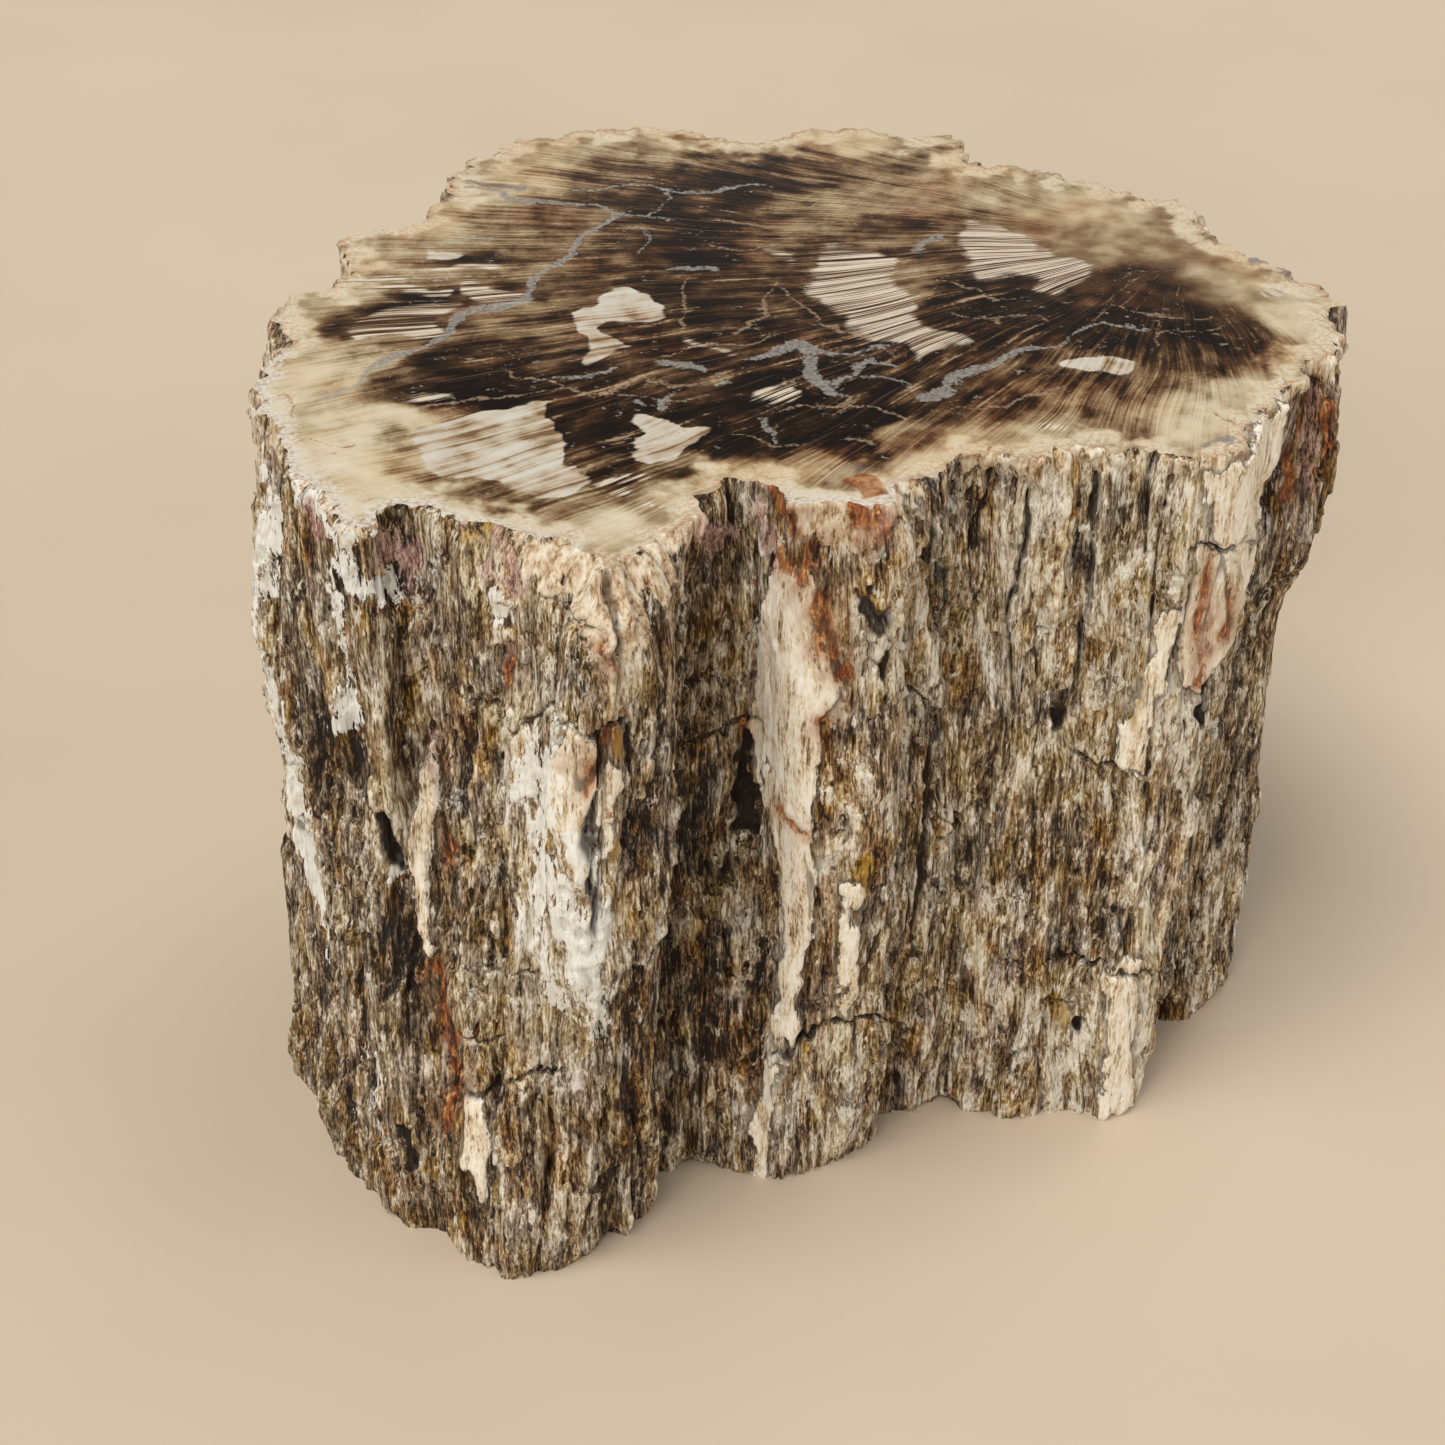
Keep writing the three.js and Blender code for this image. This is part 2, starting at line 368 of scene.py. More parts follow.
def wall_marks():
    """How deep the wall lies inside each mark, with the marks' lines made to wander."""
    grid = np.stack(np.meshgrid(around, up), axis=-1)
    grid[..., 0] += 0.55 * grain(90, 7, 22) + 0.3 * grain(91, 2.2, 7)
    grid[..., 1] += 1.0 * grain(92, 5, 9) + 0.5 * grain(93, 1.6, 4)
    return mark_depths(grid.reshape(-1, 2), WALL_OUTLINES, WALL_STREAKS)


marks = wall_marks()


# ---------------------------------------------------------------- the wall's relief

def ragged_mark(name, roughness, seed):
    """How deep the wall lies inside a mark, in mm, with the mark's edge made ragged."""
    rough = 0.6 * grain(seed, 2.2, 5.0) + 0.4 * grain(seed + 1, 0.9, 1.8)
    return marks[name].reshape(ROWS, COLUMNS) + roughness * rough


def inside(depth, soft=0.35):
    """One inside a mark and nothing outside it."""
    return smooth(depth, -soft, soft)


ROUGHNESS = {
    "slab": 0.45, "crust": 0.9, "rust": 0.6, "pit": 0.55, "crack": 0.12, "rind": 1.3,
    "pink": 0.6, "mustard": 0.4,
}
ragged = {name: ragged_mark(name, size, 20 + 2 * i) for i, (name, size) in enumerate(ROUGHNESS.items())}


# How far the wall stands out (or goes in, where less than nothing), in mm, where each thing is whole.
STANDS = {
    "ribs": 0.46, "fibres": 0.27, "threads": 0.12, "crumbs": 0.05, "shreds": 0.09, "lumps": 0.32,
    "flakes": 0.5, "splits": -0.9, "breaks": -0.7, "slab": 0.95, "crust": 0.25, "rust": -0.3,
    "rind": 0.2, "rind_shreds": 0.25, "pit": -1.5, "crack": -1.2,
}

# Hollows: mm round, mm up, half-width, half-height, depth.
HOLLOWS = [
    (97, 102, 9, 11, 1.4), (67, 107, 15, 8, 4.6), (52, 103, 4, 5, 0.9), (38, 97, 6, 5.5, 0.8),
    (0, 98, 12, 12, 1.6), (2, 36, 22, 30, 4.0), (118, 107, 9, 6, 1.6), (201, 76, 5, 6, 2.0),
    (88, 55, 9, 60, 1.6), (176, 2, 8, 6, 3.2), (126, 10, 4, 14, 2.0), (258, 60, 7, 22, 2.2),
    (318, 30, 6, 16, 2.0), (360, 84, 7, 9, 2.0),
]

# How far the grain of the wood wanders, in mm.
sway = 1.1 * grain(1, 16, 34)
lift = 2.0 * grain(2, 10, 14)


def fibrous(seed, wide, tall):
    """Random relief that wanders with the grain of the wood."""
    return bent(grain(seed, wide, tall), sway, lift)


def flaked(threads):
    """Steps where thin layers flaked off and left ragged edges."""
    edge = 0.35 * grain(9, 1.8, 3.2) + 0.2 * threads
    steps = smooth(fibrous(10, 11, 34) + edge, -0.12, 0.12)
    steps += smooth(fibrous(11, 8, 22) + edge, 0.55, 0.75)
    return steps - smooth(fibrous(12, 9, 26) - edge, 0.75, 0.95)


def split_open():
    """Long upright splits, and a few breaks that run across, from 0 to 1."""
    splits = np.exp(-(fibrous(13, 6.5, 75) / 0.07) ** 2)
    splits *= smooth(grain(14, 10, 30), -0.2, 0.6)
    breaks = np.exp(-(grain(15, 34, 17) / 0.035) ** 2) * smooth(grain(16, 14, 10), 0.9, 1.4)
    return splits, breaks


def hollowed():
    """How deep the broad hollows are, in mm: below the rim, in the flanks, the fissure and the foot."""
    depth = np.zeros((ROWS, COLUMNS))
    for at, height, wide, tall, deep in HOLLOWS:
        away = ((around - at) / wide) ** 2 + ((up - height) / tall) ** 2
        depth += deep * np.exp(-away * away)
    return depth


def chipped():
    """How much has gone from the two edges, in mm."""
    chips = np.clip(0.7 * grain(33, 6, 6) + 0.5 * grain(34, 2.2, 3), 0.1, 2.2)
    rounded = 0.2 * np.exp((up - HEIGHT) / 0.5)
    rim = 0.7 * chips * np.exp((up - HEIGHT) / CHIPPED_RIM)
    return rounded + rim + (0.8 * chips + 0.3) * np.exp(-up / CHIPPED_FOOT)


def wall_relief(splits, breaks):
    """How far the wall stands out from the smooth CAD shape, in mm."""
    threads = fibrous(5, 0.8, 9)
    shreds = fibrous(8, 2.2, 9)
    slab = inside(ragged["slab"])
    rind = inside(ragged["rind"], soft=0.8)
    whole = {
        "ribs": fibrous(3, 5.0, 70), "fibres": fibrous(4, 1.5, 30), "threads": threads,
        "crumbs": grain(6, 0.9, 1.5), "lumps": grain(7, 9, 20), "shreds": shreds,
        "flakes": flaked(threads), "splits": splits, "breaks": breaks,
        "slab": slab, "crust": inside(ragged["crust"]), "rust": inside(ragged["rust"]),
        "rind": rind, "rind_shreds": rind * shreds, "pit": smooth(ragged["pit"], -0.3, 1.2),
        "crack": inside(ragged["crack"], soft=0.25),
    }
    # Slabs are smoother than the rest, and the wall is worn towards the rim and the foot.
    calm = 1 - 0.8 * slab - 0.1 * rind * (1 - slab)
    worn_edges = 1 - 0.55 * np.exp((up - HEIGHT) / WORN_EDGES) - 0.4 * np.exp(-up / WORN_EDGES)
    worn_foot = 1 - 0.75 * np.exp(-(up / WORN_FOOT) ** 2)
    whole["ribs"] *= (1 - 0.6 * slab) * worn_foot
    whole["flakes"] *= (1 - 0.7 * slab) * worn_edges * worn_foot
    for name in ("fibres", "threads", "crumbs", "shreds"):
        whole[name] = whole[name] * calm * worn_edges
    for name in ("splits", "breaks"):
        whole[name] = whole[name] * calm * worn_edges * worn_foot
    return sum(STANDS[name] * part for name, part in whole.items()) - hollowed() - chipped()


def outward(grid):
    """Level unit normals of the wall, smoothed so that they don't cross in the furrows."""
    ahead = np.roll(grid, -1, axis=1) - np.roll(grid, 1, axis=1)
    x = soften(ahead[..., 1], 7.0, 6.0)
    y = soften(-ahead[..., 0], 7.0, 6.0)
    size = np.hypot(x, y)
    return np.stack([x / size, y / size], axis=-1)


splits, breaks = split_open()
relief = wall_relief(splits, breaks)
surface = wall.copy()
surface[..., :2] += outward(wall) * relief[..., None]


# ---------------------------------------------------------------- the mesh

def flat_face(rim, spacing, first):
    """Points inside a flat rim, an even spacing apart, and triangles that join them and the rim.

    The triangles count the rim's points from first, and the new points from the rim's end on.
    """
    low, high = rim.min(axis=0), rim.max(axis=0)
    x, y = np.meshgrid(np.arange(low[0], high[0], spacing), np.arange(low[1], high[1], spacing * 0.866))
    x[1::2] += spacing / 2
    points = np.stack([x.ravel(), y.ravel()], axis=-1)
    points = points[outline_depth(points, rim[:, :2]) > 0.6 * spacing]
    flat = np.concatenate([rim[:, :2], points])
    edges = [(i, (i + 1) % len(rim)) for i in range(len(rim))]
    found, _, faces, origins, _, _ = delaunay_2d_cdt([Vector(p) for p in flat], edges, [], 1, 1e-6)
    at = np.array([first + min(group) if group else 0 for group in origins])
    extra = [i for i, group in enumerate(origins) if not group]
    at[extra] = first + len(flat) + np.arange(len(extra))
    points = np.concatenate([points, np.array([found[i] for i in extra]).reshape(-1, 2)])
    height = np.full((len(points), 1), rim[0, 2])
    return np.concatenate([points, height], axis=1), at[np.array(faces)]


def stone_mesh():
    """The closed mesh, how many of its points are on the wall, and how many in the polished face."""
    wall_points = surface.reshape(-1, 3)
    index = np.arange(ROWS * COLUMNS).reshape(ROWS, COLUMNS)
    low, high = index[:-1], index[1:]
    sides = np.stack([low, np.roll(low, -1, axis=1), np.roll(high, -1, axis=1), high], axis=-1)
    sides = sides.reshape(-1, 4)
    top_points, top = flat_face(surface[-1], FACE_STEP, index[-1, 0])
    base_points, base = flat_face(surface[0], BASE_STEP, 0)
    base = np.where(base < COLUMNS, base, base - COLUMNS + len(wall_points) + len(top_points))[:, ::-1]
    points = np.concatenate([wall_points, top_points, base_points]) * MM

    mesh = bpy.data.meshes.new("stone")
    mesh.vertices.add(len(points))
    mesh.vertices.foreach_set("co", points.ravel())
    corners = np.concatenate([sides.ravel(), top.ravel(), base.ravel()])
    mesh.loops.add(len(corners))
    mesh.loops.foreach_set("vertex_index", corners)
    totals = np.repeat([4, 3], [len(sides), len(top) + len(base)])
    mesh.polygons.add(len(totals))
    mesh.polygons.foreach_set("loop_start", np.cumsum(totals) - totals)
    materials = np.repeat([0, 1, 0], [len(sides), len(top), len(base)]).astype(np.int32)
    mesh.polygons.foreach_set("material_index", materials)
    mesh.update(calc_edges=True)
    mesh.shade_smooth()
    sharpen_rims(mesh, index)
    layer = mesh.uv_layers.new(name="OFBake")
    layer.data.foreach_set("uv", unwrapped(points, top, base).ravel())
    return mesh, len(wall_points), len(top_points)


def sharpen_rims(mesh, index):
    """A hard edge where the wall meets the two flat faces."""
    ends = np.empty(len(mesh.edges) * 2, dtype=np.int64)
    mesh.edges.foreach_get("vertices", ends)
    ends = ends.reshape(-1, 2)
    sharp = np.zeros(len(ends), dtype=bool)
    for rim in (index[0], index[-1]):
        sharp |= np.all((ends >= rim[0]) & (ends <= rim[-1]), axis=1)
    attribute = mesh.attributes.new("sharp_edge", "BOOLEAN", "EDGE")
    attribute.data.foreach_set("value", sharp)


def unwrapped(points, top, base):
    """The map: the wall in three strips on the left, the two flat faces on the right."""
    strips, gap = 3, 0.006
    strip_columns = COLUMNS // strips
    tall = 1 / strips
    wide = tall * (GIRTH / strips) / HEIGHT
    column = np.tile(np.arange(COLUMNS), ROWS - 1)
    row = np.repeat(np.arange(ROWS - 1), COLUMNS)
    strip = column // strip_columns
    u = (column - strip * strip_columns)[:, None] + np.array([0, 1, 1, 0])
    v = row[:, None] + np.array([0, 0, 1, 1])
    across = gap + u / strip_columns * (wide - 2 * gap)
    upward = strip[:, None] * tall + gap + v / (ROWS - 1) * (tall - 2 * gap)
    low, high = points.min(axis=0)[:2], points.max(axis=0)[:2]
    scale = (0.5 - 2 * gap) / (high - low).max()
    faces = [np.stack([across, upward], axis=-1).reshape(-1, 2)]
    for triangles, lift in ((top, 0.5), (base, 0.0)):
        flat = (points[triangles.ravel()][:, :2] - low) * scale
        faces.append(flat + np.array([wide + gap, lift + gap]))
    return np.concatenate(faces)


mesh, wall_count, face_count = stone_mesh()
stone = bpy.data.objects.new("stone", mesh)
bpy.context.scene.collection.objects.link(stone)


# ---------------------------------------------------------------- what the colours follow

def spread(points, samples, sharpness):
    """A tone at each point, read smoothly from samples (place, place, tone)."""
    samples = np.array(samples, dtype=float)
    weights = np.zeros(len(points))
    total = np.zeros(len(points))
    for x, y, tone in samples:
        away = np.square(points[:, 0] - x) + np.square(points[:, 1] - y) + 1.0
        weight = away ** -sharpness
        weights += weight
        total += weight * tone
    return total / weights


def wall_tone():
    """How pale the wall is, from 0 to 1, at mm round and mm up."""
    samples = [
        (2, 95, 0.55), (8, 80, 0.35), (3, 60, 0.45), (12, 20, 0.3), (14, 75, 0.2), (10, 5, 0.3),
        (24, 88, 0.35), (22, 60, 0.2), (24, 40, 0.25), (28, 25, 0.35), (26, 8, 0.3), (20, 70, 0.15),
        (36, 84, 0.35), (34, 68, 0.3), (38, 60, 0.5), (36, 40, 0.2), (40, 22, 0.45), (42, 6, 0.4),
        (46, 92, 0.35), (47, 78, 0.35), (48, 64, 0.3), (50, 48, 0.4), (48, 36, 0.5), (52, 10, 0.45),
        (56, 90, 0.55), (56, 72, 0.7), (58, 56, 0.6), (60, 42, 0.6), (58, 30, 0.35), (58, 14, 0.4),
        (66, 94, 0.6), (64, 80, 0.7), (66, 68, 0.7), (67, 50, 0.6), (66, 34, 0.45), (66, 14, 0.4),
        (74, 88, 0.3), (73, 70, 0.2), (74, 52, 0.25), (74, 34, 0.25), (74, 14, 0.25),
        (82, 94, 0.25), (80, 74, 0.1), (82, 56, 0.1), (82, 36, 0.12), (80, 14, 0.2),
        (90, 84, 0.2), (90, 62, 0.08), (90, 44, 0.08), (92, 22, 0.12), (95, 6, 0.35),
        (97, 84, 0.3), (97, 66, 0.2), (98, 48, 0.22), (99, 32, 0.3), (98, 14, 0.45),
        (104, 80, 0.5), (106, 50, 0.4), (109, 36, 0.4), (108, 16, 0.65), (108, 6, 0.5),
        (113, 97, 0.75), (113, 84, 0.6), (112, 66, 0.55), (114, 44, 0.5), (116, 14, 0.6),
        (120, 94, 0.45), (119, 78, 0.6), (119, 60, 0.55), (120, 40, 0.45), (122, 24, 0.4),
        (126, 84, 0.45), (125, 62, 0.5), (126, 42, 0.4), (126, 22, 0.35), (126, 8, 0.3),
        (134, 94, 0.5), (134, 78, 0.5), (136, 60, 0.4), (136, 44, 0.45), (136, 28, 0.45), (136, 8, 0.5),
        (146, 96, 0.65), (147, 80, 0.6), (147, 66, 0.5), (147, 48, 0.4), (148, 34, 0.4), (150, 12, 0.6),
        (156, 96, 0.65), (156, 82, 0.7), (154, 68, 0.7), (154, 50, 0.4), (154, 36, 0.4), (156, 8, 0.7),
        (166, 96, 0.8), (164, 66, 0.65), (163, 50, 0.45), (164, 34, 0.5), (166, 16, 0.75), (168, 6, 0.7),
        (176, 78, 0.7), (176, 62, 0.45), (176, 44, 0.4), (176, 26, 0.4), (177, 10, 0.45),
        (190, 96, 0.3), (192, 84, 0.3), (190, 60, 0.4), (190, 40, 0.35), (192, 14, 0.4),
        (205, 90, 0.35), (210, 60, 0.45), (215, 20, 0.4), (235, 85, 0.5), (240, 50, 0.35),
        (245, 15, 0.45), (265, 90, 0.4), (270, 55, 0.3), (272, 20, 0.4), (290, 80, 0.6),
        (295, 45, 0.5), (300, 12, 0.4), (318, 85, 0.3), (320, 50, 0.25), (322, 15, 0.35),
        (340, 90, 0.5), (345, 55, 0.6), (350, 20, 0.4), (365, 85, 0.35), (368, 50, 0.4),
        (372, 15, 0.35), (385, 92, 0.5), (390, 60, 0.35), (393, 25, 0.4),
    ]
    # Tones carry further up and down the wall than round it.
    squash = 0.45
    points = np.stack(np.meshgrid(around, squash * up), axis=-1).reshape(-1, 2)
    placed = [(x, squash * y, tone) for x, y, tone in samples]
    return spread(points, placed, 2.0).reshape(ROWS, COLUMNS)


def ripple(points, seed, size):
    """Two smooth random fields over flat points, with features of a size in mm and a spread of 1."""
    rng = np.random.default_rng(seed)
    fields_of_waves = (2, 12)
    turns = rng.uniform(0, math.tau, fields_of_waves)
    lengths = 2 * size / rng.uniform(0.6, 1.6, fields_of_waves)
    waves = np.stack([np.cos(turns), np.sin(turns)]) * math.tau / lengths
    phases = rng.uniform(0, math.tau, fields_of_waves)
    return np.sin(np.einsum("px,xfw->pfw", points, waves) + phases).sum(axis=2) / math.sqrt(6)


# Outlines in the polished face: (mm across, mm back) for each corner.
FACE_OUTLINES = {
    # Pale patches of rotten wood, each cut through by the rays.
    "patch": [
        [(-46, -31), (-44.5, -28.5), (-37, -23.5), (-29, -23.5), (-29.5, -25.5), (-29, -28.5),
         (-25.5, -34), (-25, -37.5), (-23.5, -41.5), (-25.5, -45.5), (-30.5, -45.5), (-31.5, -43.5),
         (-35.5, -42.5), (-38, -41.5), (-42, -37.5), (-45, -34)],
        [(-21, -28.5), (-19, -26), (-15, -27), (-9.5, -28.5), (-11, -32), (-13.5, -36),
         (-16.5, -38), (-19, -36.5), (-18, -34), (-19.5, -32), (-19, -30.5)],
        [(-24.5, 8), (-22.5, 10), (-19, 9), (-16, 6), (-16, 2.5), (-17.5, 1), (-21, 1.5),
         (-22.5, -0.5), (-22, -7), (-20.5, -8), (-24.5, -10.5), (-26, -9), (-26, -0.5), (-27.5, 2.5)],
    ],
    # Tan patches, streaked by the rays.
    "tan": [
        [(-55, -1.5), (-54, 1.5), (-51, 4.5), (-46.5, 7), (-42, 5), (-41.5, 3), (-45, 0.5), (-45, -3),
         (-54, -5)],
        [(3.5, 16), (6, 23.5), (12.5, 22.5), (13.5, 16), (15.5, 5), (20, -3), (21.5, -5), (15, -11),
         (14, -6.5), (9.5, -5), (6.5, 4), (3.5, 10)],
        [(24.5, 31.5), (28.5, 30), (33.5, 23.5), (39, 17.5), (37.5, 13.5), (35.5, 8), (32.5, 10),
         (32, 15), (23.5, 13.5), (23.5, 22.5)],
    ],
    # The amber spot on the front rim.
    "amber": [
        [(5.2, -41.8), (6.4, -40), (8.6, -40.2), (9.6, -42.8), (8.6, -46), (7, -46)],
    ],
}

# Lines in the polished face: (mm across, mm back, half-width) for each point.
FACE_STREAKS = {
    "tan": [
        [(-41, 10.5, 2.0), (-38, 7.5, 2.4)], [(-58, 14, 0.7), (-50, 12, 1.0)],
        [(-54, 9, 0.7), (-46, 9.5, 0.9)], [(-20, -45.5, 0.9)],
        [(-22, -41.8, 1.0), (-17.5, -41.3, 0.6)], [(-17.5, -47.5, 0.5), (-15.5, -47, 0.5)],
        [(-2, 21, 0.5), (1, 19, 0.7)], [(29, -28, 0.8), (31, -29, 0.6)], [(-4, -20.2, 1.1), (-1, -20.8, 1.2)],
        [(-47, -21, 0.2), (-44, -20.6, 0.8), (-40.5, -20.8, 0.3)], [(-12, -43, 0.3), (-8, -41.5, 0.5)],
        [(-6, -46, 0.5), (-4, -45, 0.5)], [(-12.5, -5, 0.3), (-9, -8, 0.6)],
        [(-46, 17, 0.6), (-39, 16.5, 0.8)],
    ],
    "patch": [
        [(-47.5, 22, 0.9), (-44, 21, 1.3)], [(36, -10.9, 2.1), (39.5, -12.8, 2.1)],
        [(63.8, 10.5, 1.0), (64, 9.2, 1.1)],
        [(-12, -43, 0.5), (-8.5, -41.5, 0.3)], [(-14, -46.5, 0.9)], [(-8, -46, 0.5)],
    ],
    # Chalcedony in old cracks.
    "vein": [
        [(-61, -29.5, 0.2), (-57, -22, 0.25), (-53, -16, 0.45), (-48, -8, 0.8), (-42, 0, 0.9),
         (-38.5, 3, 1.2), (-36.5, 5.5, 0.8), (-33.5, 13.5, 0.7), (-30.5, 17, 0.8), (-26.5, 27.5, 0.7),
         (-23, 33.5, 0.8)],
        [(-45, 43.5, 0.6), (-37.5, 40, 0.9), (-31.5, 38.5, 0.7), (-26, 36, 0.5), (-23, 33, 0.6)],
        [(-23, 33.5, 0.6), (-17.5, 34, 0.5), (-14.5, 32.5, 0.3)],
        [(-17.5, 34, 0.35), (-16.5, 42.5, 0.4), (-10, 42.5, 0.7), (-4, 44, 0.3)],
        [(-30, 43, 0.3), (-20, 44, 0.5), (-16.5, 42.5, 0.4)],
        [(-19.5, 30, 0.3), (-20, 20.5, 0.4)],
        [(-15.5, 17, 0.7), (-12, 16.5, 0.9), (-9, 16, 0.6)],
        [(-32, -16, 0.25), (-27, -15, 0.5), (-22.5, -13, 0.6), (-20.5, -12, 0.4)],
        [(-6, -10, 0.5), (-3, -8.5, 1.0), (1, -7, 0.9), (3.5, -7.5, 0.6)],
        [(0.5, -8, 0.6), (2, -11, 1.1), (3.5, -15, 1.4), (4.5, -17.5, 1.1), (5.5, -19.5, 0.8)],
        [(5.5, -16, 0.6), (8, -14, 0.7), (9, -11, 0.7), (12, -12, 0.5)],
        [(3.5, -7.5, 0.5), (7.5, -8.5, 0.6), (11, -7, 0.4)],
        [(15.5, -20.5, 0.7), (19, -17, 0.8), (23, -14, 0.9), (28, -8.5, 0.8), (30, -6, 0.4)],
        [(28, -8.5, 0.5), (34, -4, 0.4), (38.5, -1, 0.4), (45.5, -2.5, 0.4)],
        [(9.5, -15, 0.4), (13, -15.5, 0.5), (17, -16.5, 0.3)],
        [(17, 21, 0.5), (19, 24, 0.7), (21, 27, 0.6)],
        [(-15.5, -12, 0.9), (-13, -12.6, 0.8), (-10.5, -14, 0.6)],
        [(-14.5, -23.5, 0.7), (-14.5, -21, 0.8), (-13.5, -18, 0.4)],
        [(-19, -22, 0.8), (-17.5, -22.5, 0.6)],
        [(-3, -25.5, 0.5), (-3.5, -28, 0.6), (-3.5, -32, 0.3)],
        [(-45.5, 26, 0.4), (-38, 25, 0.4)], [(-53, 14, 0.25), (-45, 13.2, 0.3)],
        [(-32, 30.5, 0.7)], [(-7, -16.5, 0.7), (-8.5, -17.5, 0.5)],
    ],
    # Thin pale threads through the dark wood.
    "thread": [
        [(-36, -12, 0.15), (-32, -15, 0.2), (-27, -19, 0.15), (-20, -20, 0.2), (-12, -20, 0.15)],
        [(-46, -24, 0.15), (-38, -21, 0.2), (-30, -19.5, 0.2), (-26, -18, 0.15)],
        [(-14, 12, 0.2), (-13, 4, 0.2), (-13.5, -3, 0.2)], [(-2, 12, 0.2), (-4, 2, 0.25), (-7, -1, 0.2)],
        [(-2, 12, 0.2), (2, 6, 0.2), (4, 0, 0.2), (10, -5, 0.25)],
        [(-10, 24, 0.2), (-4, 22, 0.2), (3, 24, 0.15)],
        [(-9, 32, 0.2), (0, 30, 0.25), (8, 31, 0.2)], [(-3, 36, 0.15), (8, 38, 0.2), (14, 36, 0.15)],
        [(-1, -24, 0.2), (6, -23, 0.2), (13, -27, 0.2)], [(16, -24, 0.15), (26, -22, 0.2), (33, -18, 0.2)],
        [(22, 4, 0.2), (27, 0, 0.2), (33, 1, 0.15)], [(40, 6, 0.2), (46, 2, 0.2), (52, 3, 0.15)],
        [(44, -8, 0.15), (48, -3, 0.2), (55, 0, 0.15)], [(21, 12, 0.2), (26, 6, 0.2), (31, 6, 0.15)],
        [(-8, -30, 0.15), (-3, -33, 0.2), (2, -32, 0.15)], [(6, -30, 0.2), (9, -33, 0.15)],
        [(-16, -10, 0.2), (-8, -5, 0.25), (-1, -4, 0.2)], [(-18, -16, 0.2), (-11, -17, 0.2), (-6, -13, 0.2)],
    ],
    # Thin rusty and dark cracks that run in from the rim.
    "seam": [
        [(-64, -30, 0.2), (-58, -31, 0.15), (-52, -33, 0.1)], [(-60, -38, 0.15), (-54, -34, 0.1)],
        [(-50, -47, 0.15), (-44, -44, 0.12), (-36, -46, 0.1), (-31, -50, 0.15)],
        [(-62, -20, 0.2), (-60, -27, 0.2)], [(-67, -8, 0.2), (-60, -9, 0.12), (-55, -8, 0.1)],
        [(-4, -49, 0.25), (-8, -52, 0.15)], [(10, -53, 0.25), (9, -48, 0.15)],
        [(2, -50, 0.2), (6, -49, 0.2)], [(21, -38, 0.15), (22, -33, 0.12)],
        [(40, -34, 0.15), (41, -29, 0.1)], [(52, -29, 0.2), (49, -25, 0.12)],
        [(62, -18, 0.15), (58, -14, 0.1)], [(-20, 56, 0.15), (-10, 54, 0.12)],
        [(-38, 50, 0.15), (-30, 47, 0.12)],
    ],
    # Olive brown beside the pale patches.
    "shade": [
        [(-48, -29, 0.8), (-47, -34, 1.2), (-43, -39.5, 1.4), (-37, -44.5, 1.5), (-31, -47.5, 1.6),
         (-25, -48, 1.6), (-21, -44, 1.5)],
        [(-57, -3, 1.0), (-56, 2, 1.2), (-50, 6.5, 1.2), (-45, 9.5, 1.0)],
        [(-50, -17, 0.8), (-42, -21, 1.2), (-35, -21.5, 1.0)],
        [(-48, 19, 0.5), (-41, 20, 1.0)],
    ],
    # White chalk on the rim.
    "chalk": [
        [(-64, -12, 3), (-63, -26, 4), (-57, -42, 5), (-42, -54, 5), (-30, -59, 4)],
        [(0, -48, 2), (8, -50, 3), (20, -42, 2)],
    ],
    # Smudges of blue grey in the pale rim.
    "smudge": [
        [(-43, -52, 0.8), (-40, -51, 1.4), (-38, -51.5, 0.7)], [(56, -29, 1.0), (61, -26, 0.8)],
        [(51, -33, 1.0), (48, -34, 0.5)], [(6.5, -38.8, 0.7), (9, -38.6, 0.5)],
        [(63, 20, 1.0), (64, 16, 0.8)], [(-44, 45, 0.8), (-37, 43, 1.2)],
    ],
}


def face_marks(points):
    """How deep each point of the polished face lies inside each mark."""
    wandering = points + 0.7 * ripple(points, 94, 7) + 0.22 * ripple(points, 95, 1.8)
    return mark_depths(wandering, FACE_OUTLINES, FACE_STREAKS)


